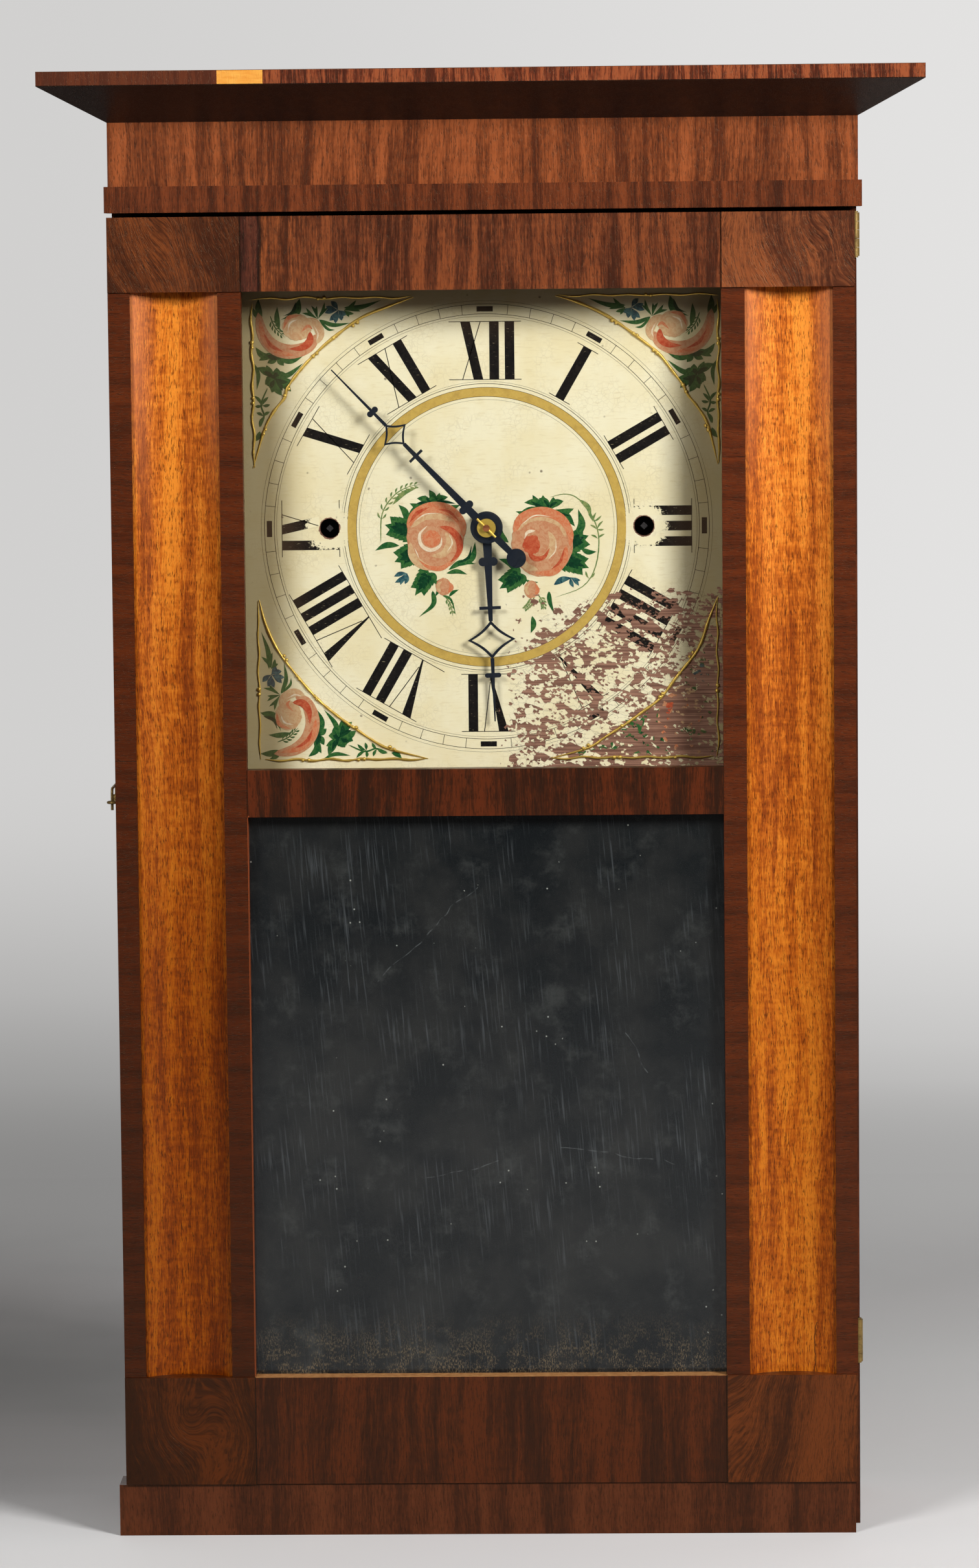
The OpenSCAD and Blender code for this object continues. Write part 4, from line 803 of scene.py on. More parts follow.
def draw_numeral(shape, text, degrees):
    """A numeral read from the middle of the dial, with a hairline across each end."""
    places = [0.0]
    for before, after in zip(text, text[1:]):
        gap = BETWEEN if before == after == "I" else BETWEEN * 0.5 + 2.2
        gap += letter_width(before) / 2 + letter_width(after) / 2
        places.append(places[-1] + gap)
    left = places[0] - letter_width(text[0]) / 2
    right = places[-1] + letter_width(text[-1]) / 2
    for letter, place in zip(text, places):
        draw_letter(shape, letter, degrees, place - (left + right) / 2)
    reach = (right - left) / 2 + THICK / 2 + SERIF_OVER
    for radius in (NUMERAL_LOW - SERIF, NUMERAL_HIGH):
        radial_block(shape, degrees, -reach, reach, radius, radius + SERIF)


def paint_numerals(ink):
    shape = Outline()
    for hour, text in enumerate(("XII", "I", "II", "III", "IIII", "V", "VI", "VII", "VIII", "IX",
                                 "X", "XI")):
        draw_numeral(shape, text, hour * 30)
    paint_piece("dial_numerals", shape, ink)


TRACK_OUT = 144.3
TRACK_IN = 137.9
LINE = 0.32
MARK_LONG = 10.5
MARK_WIDE = 3.4
# Fine circles by radius and width: the track's edges, then those round the gilt ring.
CIRCLES = ((TRACK_OUT, LINE), (TRACK_OUT + 2.1, LINE * 0.45), (TRACK_IN, LINE),
           (TRACK_IN - 1.5, LINE * 0.45), (92.9, LINE), (94.3, LINE * 0.4), (82.6, LINE * 0.4))
RING_EDGES = (84.6, 90.5)
RING_EDGE_HALF = 0.12
RING = (84.7, 90.4)


def paint_tracks(ink):
    """Minute track, its ticks and five-minute marks, and the fine circles."""
    shape = Outline()
    for radius, width in CIRCLES:
        flat_ring(shape, radius - width / 2, radius + width / 2, INK_LIFT)
    for radius in RING_EDGES:
        flat_ring(shape, radius - RING_EDGE_HALF, radius + RING_EDGE_HALF, INK_LIFT * 1.5)
    for minute in range(60):
        if minute % 5:
            radial_block(shape, minute * 6, -LINE / 2, LINE / 2, TRACK_IN, TRACK_OUT)
        else:
            radial_block(shape, minute * 6, -MARK_LONG / 2, MARK_LONG / 2,
                         (TRACK_IN + TRACK_OUT - MARK_WIDE) / 2,
                         (TRACK_IN + TRACK_OUT + MARK_WIDE) / 2)
    paint_piece("dial_tracks", shape, ink)


def gild_ring(gold):
    shape = Outline()
    flat_ring(shape, *RING, ART_LIFT)
    paint_piece("dial_gilt_ring", shape, gold)


def raised_line(shape, points, girth, rng):
    """Wandering thread of gilded gesso that swells and thins."""
    smooth = curve_through(points, 5)
    radii = []
    for i in range(len(smooth)):
        end = min(i, len(smooth) - 1 - i) / 6
        radii.append(girth * min(1, 0.25 + end) * rng.uniform(0.75, 1.2) * MM)
    sweep(shape, smooth, radii, 8)


def bead(shape, place, radius):
    """Small drop of gesso."""
    rows = []
    for lat in range(5):
        a = math.pi / 2 * lat / 4
        ring = []
        for k in range(10):
            b = 2 * math.pi * k / 10
            out = radius * math.cos(a) * MM
            ring.append(place + Vector((out * math.cos(b), -radius * 0.8 * math.sin(a) * MM,
                                        out * math.sin(b))))
        rows.append(ring)
    shape.grid(rows, closed=True)


GESSO_LIFT = 0.3 * MM
# How the upper left corner's ornament is laid into each corner: (x, z) of the dial from (x, z).
CORNERS = {"nw": ((1, 0), (0, 1)), "ne": ((-1, 0), (0, 1)),
           "sw": ((0, -1), (1, 0)), "se": ((0, 1), (1, 0))}


def in_corner(corner, x, z, lift):
    """Point on the dial's face in a corner, given in mm as for the upper left one."""
    (a, b), (c, d) = corner
    return on_dial(a * x + b * z, c * x + d * z, lift)


def gild_spandrels(gold):
    """Raised gilt borders round the four corners, with pairs of beads."""
    rng = random.Random(11)
    swag = ((-46, 149), (-62, 143.6), (-80, 136), (-98.2, 122.9), (-111.2, 111.6), (-120.5, 101.5),
            (-127.8, 90.7), (-130.4, 85.5), (-137.5, 76), (-143.5, 64.6), (-150.6, 40.2))
    top = [(-150.5 + 11.5 * i, 148.6 + (i % 2) * 1.1) for i in range(10)]
    side = [(-150.2 - (i % 2) * 0.9, 146 - 10.6 * i) for i in range(11)]
    beads = ((-98.2, 122.9), (-96.0, 124.4), (-111.2, 111.6), (-109.2, 113.2), (-127.8, 90.7),
             (-130, 86.4), (-142.6, 64.6), (-144.3, 61.5), (-82.5, 132.9), (-85.1, 131.2),
             (-150.8, 121), (-150.6, 117.5), (-150.6, 85), (-150.6, 81.5), (-104, 149.2),
             (-107.5, 149))
    for name, corner in CORNERS.items():
        shape = Outline()

        def laid(points, shake):
            places = []
            for x, z in points:
                x, z = x + rng.uniform(-shake, shake), z + rng.uniform(-shake, shake)
                places.append(in_corner(corner, x, z, GESSO_LIFT))
            return places

        raised_line(shape, laid(swag, 0.7), 0.95, rng)
        raised_line(shape, laid(top, 0.35), 0.62, rng)
        raised_line(shape, laid(side, 0.35), 0.8, rng)
        for place in laid(beads, 0.3):
            bead(shape, place + Vector((0, -0.2 * MM, 0)), rng.uniform(1.1, 1.5))
        paint_piece("dial_gesso_" + name, shape, gold, True)


STROKE_STEP = 0.002 * MM
LAYER_STEP = 0.04 * MM
FERN_LEAN = 0.6


class Brush:
    """Brush strokes in one colour, placed in mm from the hands."""

    def __init__(self, layer, corner):
        self.shape = Outline()
        self.corner = corner
        self.lift = ART_LIFT + layer * LAYER_STEP

    def spot(self, x, z):
        return in_corner(self.corner, x, z, self.lift)

    def ribbon(self, points, width, fat=0.5, blunt=1.0):
        """One stroke through a few points, widest at the share fat; a low blunt fills its ends."""
        path = curve_through([Vector((x, 0, z)) for x, z in points], 18 // len(points) + 2)
        rows = []
        for i, p in enumerate(path):
            t = i / (len(path) - 1)
            ahead = (path[min(i + 1, len(path) - 1)] - path[max(i - 1, 0)]).normalized()
            swell = max(math.sin(math.pi * t ** (math.log(0.5) / math.log(fat))), 0) ** blunt
            half = width / 2 * max(swell, 0.03)
            rows.append([self.spot(p.x - ahead.z * half, p.z + ahead.x * half),
                         self.spot(p.x + ahead.z * half, p.z - ahead.x * half)])
        self.shape.grid(rows)
        self.lift += STROKE_STEP

    def stroke(self, start, end, bend, width, fat=0.45):
        """Leaf-shaped stroke: bend moves its middle sideways."""
        (sx, sz), (ex, ez) = start, end
        middle_spot = ((sx + ex) / 2 - (ez - sz) * bend, (sz + ez) / 2 + (ex - sx) * bend)
        self.ribbon((start, middle_spot, end), width, fat)

    def fan(self, start, tips, width, bend=0.08, fat=0.55):
        """Strokes from one place out to several tips."""
        for i, tip in enumerate(tips):
            self.stroke(start, tip, bend * (1 if i % 2 else -1), width, fat)

    def disc(self, centre, rx, rz, wobble, seed=1):
        """Filled blot with an uneven rim."""
        rng = random.Random(seed)
        ring = []
        for i in range(44):
            a = 2 * math.pi * i / 44
            r = 1 + rng.uniform(-wobble, wobble)
            ring.append(self.spot(centre[0] + rx * r * math.cos(a),
                                  centre[1] + rz * r * math.sin(a)))
        self.shape.fan(ring)
        self.lift += STROKE_STEP

    def leaf(self, base, tip, width, teeth=5):
        """Full toothed leaf: pointed dabs off both sides of a middle rib."""
        (bx, bz), (tx, tz) = base, tip
        long = math.hypot(tx - bx, tz - bz)
        ux, uz = (tx - bx) / long, (tz - bz) / long
        self.disc((bx + (tx - bx) * 0.42, bz + (tz - bz) * 0.42), width * 0.27, width * 0.27, 0.1)
        self.stroke((bx, bz), (tx, tz), 0.02, width * 0.5)
        for i in range(teeth):
            t = 0.02 + 0.72 * i / teeth
            reach = width * (0.66 - 0.3 * t)
            for side in (-1, 1):
                start = (bx + (tx - bx) * t, bz + (tz - bz) * t)
                end = (start[0] + (ux * (0.35 + 0.6 * t) - side * uz * 0.85) * reach,
                       start[1] + (uz * (0.35 + 0.6 * t) + side * ux * 0.85) * reach)
                self.stroke(start, end, 0.14 * side, width * 0.32, 0.45)

    def fern(self, points, reach, pairs):
        """Thin stem with fine dabs on both sides."""
        self.ribbon(points, 0.8, 0.3, 0.5)
        path = curve_through([Vector((x, 0, z)) for x, z in points], 8)
        for i in range(pairs):
            t = 0.2 + 0.75 * i / pairs
            spot = along(path, t)
            ahead = along(path, min(t + 0.06, 1)) - along(path, t - 0.06)
            for side in (-1, 1):
                angle = math.atan2(ahead.z, ahead.x) + side * FERN_LEAN
                r = reach * (1 - 0.45 * t)
                self.stroke((spot.x, spot.z), (spot.x + r * math.cos(angle),
                                               spot.z + r * math.sin(angle)), 0.1 * side, 1.2, 0.6)


# The parts of a spray: the layer that each lies in, counted from the dial, and its paint.
SPRAY_PARTS = {"leaves": (0, "leaf"), "tendrils": (1, "tendril"), "leaf_shadows": (2, "deep_leaf"),
               "blue_dabs": (1, "blue"), "blue_star": (1, "blue"), "rose": (3, "rose"),
               "pale_petals": (4, "pale"), "coral_petals": (5, "coral"),
               "dark_petals": (6, "dark"), "highlights": (7, "white")}


class Spray:
    """A painted spray, with a brush for each of its parts."""

    def __init__(self, name, paints, corner=CORNERS["nw"]):
        self.name = name
        self.paints = paints
        self.corner = corner
        self.brushes = {}

    def brush(self, part):
        self.brushes[part] = Brush(SPRAY_PARTS[part][0], self.corner)
        return self.brushes[part]

    def finish(self):
        """Makes one piece of what each brush has painted."""
        for part, brush in self.brushes.items():
            paint_piece(self.name + "_" + part, brush.shape, self.paints[SPRAY_PARTS[part][1]])


def paint_left_spray(paints):
    """Rose to the left of the hands."""
    spray = Spray("left_spray", paints)
    green = spray.brush("leaves")
    green.fan((-35, 14.5), ((-51.8, 6.4), (-49.8, 15.8), (-45.1, 19.1), (-40, 21), (-37.1, 24.5),
                            (-33.6, 21.5), (-30.4, 22.5), (-25, 19.8), (-17, 14.5)), 4.4, 0.14)
    for base, tip, width in (((-49, -2), (-66, 2), 15), ((-45, -15), (-60, -22), 14.5),
                             ((-37.5, -29), (-47, -44), 12.5)):
        green.leaf(base, tip, width)
    green.stroke((-57, -11.5), (-72.5, -14.5), -0.12, 4)
    green.stroke((-52, 4), (-57, 15), -0.15, 4.4)
    green.stroke((-18.3, -25), (-7.6, -9.6), -0.22, 4)
    green.stroke((-25, -27.5), (-7.6, -23.7), 0.16, 3.6)
    green.stroke((-26.4, -29.7), (-13, -30.5), 0.12, 3)
    green.ribbon(((-37.1, -32), (-33, -35.5), (-30.4, -33.4)), 2.4)
    green.stroke((-33.5, -36), (-34, -45), 0.2, 2.4)
    green.ribbon(((-35.5, -41), (-35.2, -49.8), (-44.5, -58)), 3.2, 0.35)
    green.ribbon(((-29, -44), (-23.7, -47), (-20.5, -57)), 1.6, 0.3)
    green.stroke((-25, -45), (-18.5, -40.4), 0.1, 2.2)

    thin = spray.brush("tendrils")
    thin.fern(((-69, -10), (-67.8, 9.1), (-60, 21), (-51, 26.4), (-42.4, 28)), 5.5, 9)
    thin.stroke((-61, 15), (-44, 26.5), 0.1, 3)
    thin.fern(((-28, -44), (-24, -50), (-22.5, -58)), 4, 4)

    deep = spray.brush("leaf_shadows")
    for base, tip, width in (((-51, -1.5), (-63, 1), 8), ((-47, -16), (-57, -21), 8),
                             ((-39, -31), (-45, -41), 7)):
        deep.leaf(base, tip, width, 4)
    deep.fan((-35, 15.5), ((-46, 15.5), (-39, 19.5), (-28, 19), (-20, 15.5)), 1.8)
    deep.stroke((-19, -23), (-10, -12), -0.22, 1.8)

    blue = spray.brush("blue_dabs")
    blue.fan((-52, -29.5), ((-60.5, -31.5), (-60, -35.5), (-56.5, -37), (-53.5, -36.5)), 3)

    rose = spray.brush("rose")
    rose.disc((-33.4, -6), 18.6, 21.6, 0.02, 5)
    rose.disc((-28.4, -38.4), 5, 5.6, 0.05, 6)

    pale = spray.brush("pale_petals")
    pale.ribbon(((-50, -9), (-48.5, -18), (-42, -24.5), (-33, -27)), 5.4, 0.5, 0.6)
    pale.ribbon(((-49, 0), (-41, 6.5), (-32, 7.5), (-22, 4)), 4.6, 0.5, 0.6)
    pale.ribbon(((-36, -18.5), (-28, -17), (-24, -9), (-27, -3)), 5, 0.5, 0.6)
    pale.stroke((-30.5, -42), (-29.5, -34.5), 0.25, 2.6)

    coral = spray.brush("coral_petals")
    coral.ribbon(((-51.6, 0), (-46, 9), (-35, 13.2), (-24, 11), (-16.2, 3), (-15, -6)), 7.2, 0.45,
                 0.5)
    coral.disc((-35.8, -7.2), 5.8, 5.6, 0.08, 9)
    coral.ribbon(((-45, -20.5), (-38, -25.6), (-29, -26.2), (-21, -20)), 3.2, 0.6, 0.7)
    coral.stroke((-25.4, -42.5), (-25, -35), -0.25, 3)

    dark = spray.brush("dark_petals")
    dark.ribbon(((-30.5, 0.6), (-23.5, -1.6), (-18.2, -8), (-18.2, -16), (-23.5, -22.5)), 4.6, 0.45,
                0.7)
    dark.ribbon(((-50.5, 3), (-45, 9.5), (-37, 13.4)), 2.4)
    dark.ribbon(((-32, 12), (-24, 10), (-18, 4)), 1.8)

    light = spray.brush("highlights")
    light.ribbon(((-38.5, 1.4), (-43.6, -4.4), (-42.4, -11.4), (-36.5, -14.6), (-30.4, -11.6),
                  (-29.2, -6)), 2.5, 0.5, 0.7)
    light.ribbon(((-47.5, 3.6), (-40, 8.6), (-31, 9.4)), 0.9)
    light.ribbon(((-26, -16), (-22.5, -10), (-24.5, -4.5)), 0.9)
    light.ribbon(((-47, -13), (-44, -20)), 0.8)
    spray.finish()


def paint_right_spray(paints):
    """Rose to the right of the hands."""
    spray = Spray("right_spray", paints)
    green = spray.brush("leaves")
    green.fan((40.6, 11), ((17.8, 3.8), (19, 10), (24.5, 15.8), (29.9, 20.6), (34, 18.5),
                           (36.6, 20.4), (43.3, 19.2), (49.9, 16.5), (56.6, 11.5), (57.2, 0)),
              4.8, 0.14)
    for base, tip, width in (((52, -12), (66, -6), 14), ((50, -21), (66, -27), 14),
                             ((22, -30), (8, -40), 13)):
        green.leaf(base, tip, width)
    green.stroke((56, -8), (59.5, 11), -0.2, 5)
    green.stroke((61, -14), (71, -16.5), -0.14, 3.4)
    green.stroke((20, -30), (7.6, -20.6), -0.14, 4.6)
    green.stroke((14, -10), (9, 2), 0.2, 4.4)
    green.ribbon(((40, -42), (40.6, -49), (43.6, -57)), 3, 0.35)
    green.ribbon(((33, -36), (28.5, -36.2), (24.5, -34)), 2.2)
    green.stroke((29, -58), (28, -69), 0.12, 3.6)

    thin = spray.brush("tendrils")
    thin.ribbon(((41, 19), (50, 21), (58, 19), (66.5, 10), (72.5, -5.6), (70.5, -25.7), (62, -39),
                 (44, -46)), 0.8, 0.5, 0.4)
    thin.stroke((60, 17.5), (67.5, 5), 0.16, 3.2)
    for spot, tips in (((69, 3), ((66, 8), (71, 9), (74.5, 7))),
                       ((71.5, -2), ((67, 1), (75.5, 3.5), (76, -2))),
                       ((72, -8), ((67.5, -5.5), (76.5, -5))), ((66, -34), ((70, -30), (64, -29)))):
        thin.fan(spot, tips, 1.3)
    thin.fern(((31, -45), (27.5, -50), (23.5, -54)), 4, 5)
    thin.fern(((33, -44), (36, -49), (36.5, -54)), 4, 4)

    deep = spray.brush("leaf_shadows")
    for base, tip, width in (((54, -11), (63, -7), 7.5), ((52, -21.5), (63, -26), 7.5),
                             ((20, -31), (10.5, -38.5), 7)):
        deep.leaf(base, tip, width, 4)
    deep.fan((40.6, 12), ((22, 8), (29, 16.5), (37, 17.5), (46, 16), (54.5, 7)), 2)

    blue = spray.brush("blue_dabs")
    blue.stroke((43.3, -37.8), (55, -33.4), 0.1, 4)
    blue.fan((54, -33), ((60.5, -35), (59.5, -38.5), (56, -39.5)), 2.6)

    rose = spray.brush("rose")
    rose.disc((35.9, -10.8), 20, 21.8, 0.02, 7)
    rose.disc((28.5, -40.6), 4.6, 5.8, 0.05, 8)

    pale = spray.brush("pale_petals")
    pale.ribbon(((19.5, -3), (27, 4.5), (38, 6), (48, 1), (51, -7)), 4.6, 0.5, 0.6)
    pale.ribbon(((33, -20), (40, -18), (43, -10), (40, -3)), 5, 0.5, 0.6)
    pale.ribbon(((20, -16), (25, -25), (33, -28)), 4.6, 0.5, 0.6)
    pale.stroke((27, -44.5), (27.4, -36.6), 0.25, 2.2)

    coral = spray.brush("coral_petals")
    coral.ribbon(((17.4, -3.5), (23, 6), (36, 9.8), (48, 5.4), (54, -4), (54, -13)), 6.4, 0.4, 0.5)
    coral.ribbon(((51.5, -12.5), (49.5, -22), (42.5, -29.6), (31, -30)), 5.2, 0.45, 0.6)
    coral.stroke((30.8, -45), (31, -37), -0.22, 2.6)

    dark = spray.brush("dark_petals")
    dark.disc((29, -11.5), 5.6, 6.2, 0.1, 4)
    dark.ribbon(((27, -16.5), (31, -20.6), (37, -19.6), (40.6, -14)), 3.4, 0.35, 0.7)
    dark.ribbon(((50.4, -14), (47.5, -22.5), (41.5, -28)), 1.8)

    light = spray.brush("highlights")
    light.ribbon(((24.4, -8), (26.4, -3.6), (31.5, -2.4)), 2.2, 0.6, 0.8)
    light.ribbon(((22, 1), (31, 7.2), (42, 6.4)), 0.9)
    light.ribbon(((39, -22), (44.4, -15.5), (44.6, -8)), 0.9)
    spray.finish()


def paint_corner_spray(name, paints):
    """Rose, blue star and heart leaf inside a gilt corner; given as for the upper left."""
    spray = Spray("spray_" + name, paints, CORNERS[name])
    green = spray.brush("leaves")
    green.stroke((-144.3, 136), (-146.4, 149), 0.08, 4.2)
    green.stroke((-145.4, 136), (-150, 143), 0.1, 3)
    green.stroke((-133, 129), (-134.2, 143.6), 0.06, 3.6)
    green.stroke((-131.6, 135.4), (-119.6, 148.6), -0.22, 5.4, 0.6)
    green.fern(((-139, 138), (-135.5, 130), (-129.5, 124)), 5, 5)
    green.fan((-108, 135.5), ((-118.2, 139.5), (-115.6, 142.9), (-112.1, 144.2), (-108.6, 144),
                              (-103.4, 146.4), (-101, 143)), 2.0)
    green.ribbon(((-91, 142.6), (-80, 143), (-66.9, 147.3)), 3.2, 0.4)
    green.fan((-91, 141), ((-83, 147.4), (-80.3, 140.3), (-84.6, 138.6), (-87.7, 136.6)), 2.2)
    green.ribbon(((-107.3, 135.1), (-98, 131.6), (-86.9, 132.8)), 2.8, 0.4)
    green.ribbon(((-107, 134.6), (-101.5, 129), (-97, 128.4)), 1.8, 0.4)
    green.ribbon(((-148.6, 117.6), (-144, 112.4), (-136, 112)), 4, 0.5)
    green.fan((-134, 112.6), ((-146.4, 109.2), (-141, 107.4), (-130.4, 105.6), (-125, 107.6)), 4.2)
    green.ribbon(((-136, 112), (-126, 108.6), (-115.8, 113.6)), 3.8, 0.4)
    green.disc((-135.4, 96), 6.6, 5.4, 0.12, 3)
    green.fan((-136.4, 97), ((-147.6, 104.6), (-141.6, 106), (-135, 104.4), (-129, 100.6),
                             (-124.4, 95.6), (-126, 89), (-132, 86.4), (-138.5, 88.4),
                             (-142.6, 93.6)), 5)
    green.ribbon(((-136, 97.6), (-127, 100), (-118, 107)), 3.4, 0.4)
    green.ribbon(((-150, 107.8), (-147, 100), (-148, 90.4)), 2.6)
    green.ribbon(((-141, 91.6), (-145.4, 81), (-143.6, 73.3), (-146, 66)), 1.1, 0.4, 0.4)
    green.fan((-144.8, 80), ((-149.6, 86.4), (-140.6, 85.6), (-139.6, 80.6), (-149.4, 79.6)), 2)
    green.fan((-144, 73), ((-148.6, 75.4), (-139.8, 76), (-146.6, 66)), 2)
    green.stroke((-146.4, 63.4), (-150, 56.8), 0.1, 3.2)

    deep = spray.brush("leaf_shadows")
    deep.stroke((-130.6, 137.6), (-122, 146.6), -0.22, 2.2, 0.6)
    deep.disc((-136.4, 96.6), 4.6, 3.6, 0.16, 4)
    deep.fan((-136.4, 97), ((-144, 102), (-134.4, 101.6), (-127.6, 95), (-131.4, 89.4),
                            (-138.6, 91)), 2.8)
    deep.disc((-136.4, 111.6), 4.4, 2.2, 0.2, 5)

    blue = spray.brush("blue_star")
    blue.fan((-94.7, 141.2), ((-99.4, 147), (-102.6, 143.6), (-103.4, 139.4), (-100.4, 134.4),
                              (-96.6, 132.6), (-92.6, 134.4), (-89.6, 138)), 3.4, 0.06, 0.6)

    rose = spray.brush("rose")
    rose.ribbon(((-146.6, 140), (-144, 127), (-137, 118), (-126, 114.6), (-114, 118), (-108, 126)),
                9.5, 0.5, 0.45)

    pale = spray.brush("pale_petals")
    pale.disc((-121.7, 130.4), 9.4, 8.6, 0.04, 6)
    pale.ribbon(((-117, 135.6), (-110, 133), (-106.6, 126), (-108.6, 119.6)), 6, 0.5, 0.6)

    coral = spray.brush("coral_petals")
    coral.ribbon(((-145.8, 136), (-142.4, 122.6), (-134, 114.6), (-124, 112.4)), 4.6, 0.5, 0.6)
    coral.ribbon(((-130.4, 129), (-127, 136.4), (-119.4, 138)), 2.6)
    coral.ribbon(((-119, 127), (-114.6, 131), (-111.4, 129)), 2)

    dark = spray.brush("dark_petals")
    dark.ribbon(((-127, 116.4), (-119, 117), (-113.6, 121), (-113, 127.4)), 5, 0.6, 0.6)
    dark.ribbon(((-143.4, 127), (-138.4, 118.6), (-130, 114.4)), 2.2)

    light = spray.brush("highlights")
    light.ribbon(((-127.6, 127), (-126, 133), (-120.6, 135.6)), 1.1)
    light.ribbon(((-110.6, 131.4), (-108, 126), (-109, 121.6)), 1.0)
    spray.finish()


def paint_flowers():
    """The rose sprays: two beside the hands and one in each corner."""
    paints = {
        "leaf": art_paint("leaf_green_paint", srgb(24, 84, 42), srgb(70, 116, 58), 0.2),
        "tendril": art_paint("tendril_green_paint", srgb(92, 128, 70), srgb(150, 160, 98), 0.4),
        "deep_leaf": art_paint("dark_leaf_paint", srgb(8, 48, 30), srgb(22, 74, 40), 0.1),
        "blue": art_paint("blue_sprig_paint", srgb(26, 70, 82), srgb(84, 126, 122), 0.2),
        "rose": art_paint("rose_paint", srgb(214, 162, 120), srgb(202, 132, 92), 0.1),
        "pale": art_paint("pale_petal_paint", srgb(222, 188, 140), srgb(210, 160, 114), 0.1),
        "coral": art_paint("coral_petal_paint", srgb(216, 118, 76), srgb(220, 152, 108), 0.15),
        "dark": art_paint("dark_petal_paint", srgb(186, 72, 44), srgb(206, 106, 70), 0.1),
        "white": art_paint("petal_light_paint", srgb(248, 232, 200), srgb(236, 204, 164), 0.1),
    }
    paint_left_spray(paints)
    paint_right_spray(paints)
    for name in CORNERS:
        paint_corner_spray(name, paints)


def paint_dial():
    """Everything drawn on the dial's face."""
    ink = art_paint("numeral_ink", srgb(14, 12, 11), srgb(32, 27, 23), 0.55, 0.45)
    paint_numerals(ink)
    paint_tracks(ink)
    gild_ring(gilding("flat_gold_paint", 0.5, 0.35))
    gild_spandrels(gilding("gesso_gilding", 0.3, 0.7))
    paint_flowers()


# ------------------------------------------------------------ cords

STRANDS = 3
STRAND_RADIUS = 0.7 * MM
LAY = 9 * MM
# Distance of the cord's middle from the centre of a pulley and of a drum.
ROUND_PULLEY = 12 * MM
ROUND_DRUM = 15.7 * MM


def lay_cord(shape, points):
    """Strands laid round each other along a path of points."""
    lengths = [0.0]
    for a, b in zip(points, points[1:]):
        lengths.append(lengths[-1] + (b - a).length)
    step = LAY / 8
    count = int(lengths[-1] / step)
    core = []
    i = 0
    for k in range(count + 1):
        s = lengths[-1] * k / count
        while i < len(lengths) - 2 and lengths[i + 1] < s:
            i += 1
        share = (s - lengths[i]) / (lengths[i + 1] - lengths[i])
        core.append((points[i].lerp(points[i + 1], share), s))
    side = Vector((0, 1, 0))
    for strand in range(STRANDS):
        path = []
        for k, (p, s) in enumerate(core):
            ahead = (core[min(k + 1, count)][0] - core[max(k - 1, 0)][0]).normalized()
            across = ahead.cross(side).normalized()
            a = 2 * math.pi * (s / LAY + strand / STRANDS)
            path.append(p + (across * math.cos(a) + side * math.sin(a)) * STRAND_RADIUS)
        sweep(shape, path, [STRAND_RADIUS] * len(path), 6)


def hang_cord(weight, side, slanting, material):
    """Hangs the upright cord, and lays the rest of it into the slanting ones."""
    wheel = middle(weight + "_pulley")
    drum = middle(weight + "_drum")
    low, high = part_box(weight + "_cord")
    x, y = (low.x + high.x) / 2, (low.y + high.y) / 2
    fall = low.z - 0.3 * MM - high.z
    steps = 60
    drop = [Vector((x, y, high.z + fall * i / steps)) for i in range(steps + 1)]
    upright = Outline()
    lay_cord(upright, drop)
    piece = finish_piece(weight + "_hanging_cord", upright, material, None)
    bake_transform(piece)
    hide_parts(weight + "_cord")
    to_wheel = Vector((wheel.x - drum.x, 0, wheel.z - drum.z))
    narrowing = math.asin((ROUND_DRUM - side * ROUND_PULLEY) / to_wheel.length)
    tilt = math.atan2(to_wheel.z, to_wheel.x) - narrowing
    out = Vector((-math.sin(tilt), 0, math.cos(tilt)))
    start = Vector((drum.x, y, drum.z)) + out * ROUND_DRUM
    end = Vector((wheel.x, y, wheel.z)) + out * ROUND_PULLEY * side
    path = [start.lerp(end, i / 30) for i in range(31)]
    first = math.atan2(out.z * side, out.x * side)
    last = 0.0 if side > 0 else math.pi
    if side < 0 and first < 0:
        first += 2 * math.pi
    for i in range(1, 25):
        a = first + (last - first) * i / 24
        path.append(Vector((wheel.x + ROUND_PULLEY * math.cos(a), y,
                            wheel.z + ROUND_PULLEY * math.sin(a))))
    lay_cord(slanting, path)


def hang_cords(material):
    slanting = Outline()
    hang_cord("time", 1, slanting, material)
    hang_cord("strike", -1, slanting, material)
    piece = finish_piece("slanting_cords", slanting, material, "case")
    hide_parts("upper_cords")


# ------------------------------------------------------------ finishes of the solid pieces

CRACK_X = 0.206
CRACK_TOP = 0.138
PATCH = (-0.166, -0.137)
PILASTER_IN = OPEN_HALF + 15 * MM
PILASTER_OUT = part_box("pilasters")[1].x - DOOR_X
CORNICE_LIP = 0.9412
CORNICE_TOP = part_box("cornice_mouldings")[1].z - 0.3 * MM
STRIP_JOINTS = (0.769, 0.702, 0.509, 0.33)


def dress(material, *nodes):
    """Gives CAD nodes their material."""
    for node in nodes:
        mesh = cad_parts[node].data
        mesh.materials.clear()
        mesh.materials.append(material)


def painted_falloff(where, colour, top_left, top_right, low_left, low_right, foot=0.12, blue=2.0):
    """Painted light and shade: darkens and reddens a colour by a share given for each corner of the
    door, for the light that falls off across it.
    """
    x, _, z = split(where)

    def share(amount):
        return (amount, amount ** 1.3, amount ** blue, 1)

    across = remap(x, -0.2, 0.2)
    high = mix(across, share(top_left), share(top_right))
    low = mix(across, share(low_left), share(low_right))
    # Painted shade: darker towards the foot, by the shares given for each corner.
    down = remap(z, foot, 0.78)
    return tinted(colour, mix(down, low, high))


def dark_lines(across, places, width, colour, mixed=0.75):
    """Thin dark joint lines at given places along one axis."""
    for place in places:
        line = abs(across - place) < width
        colour = mix(line * mixed, colour, srgb(22, 9, 6))
    return colour


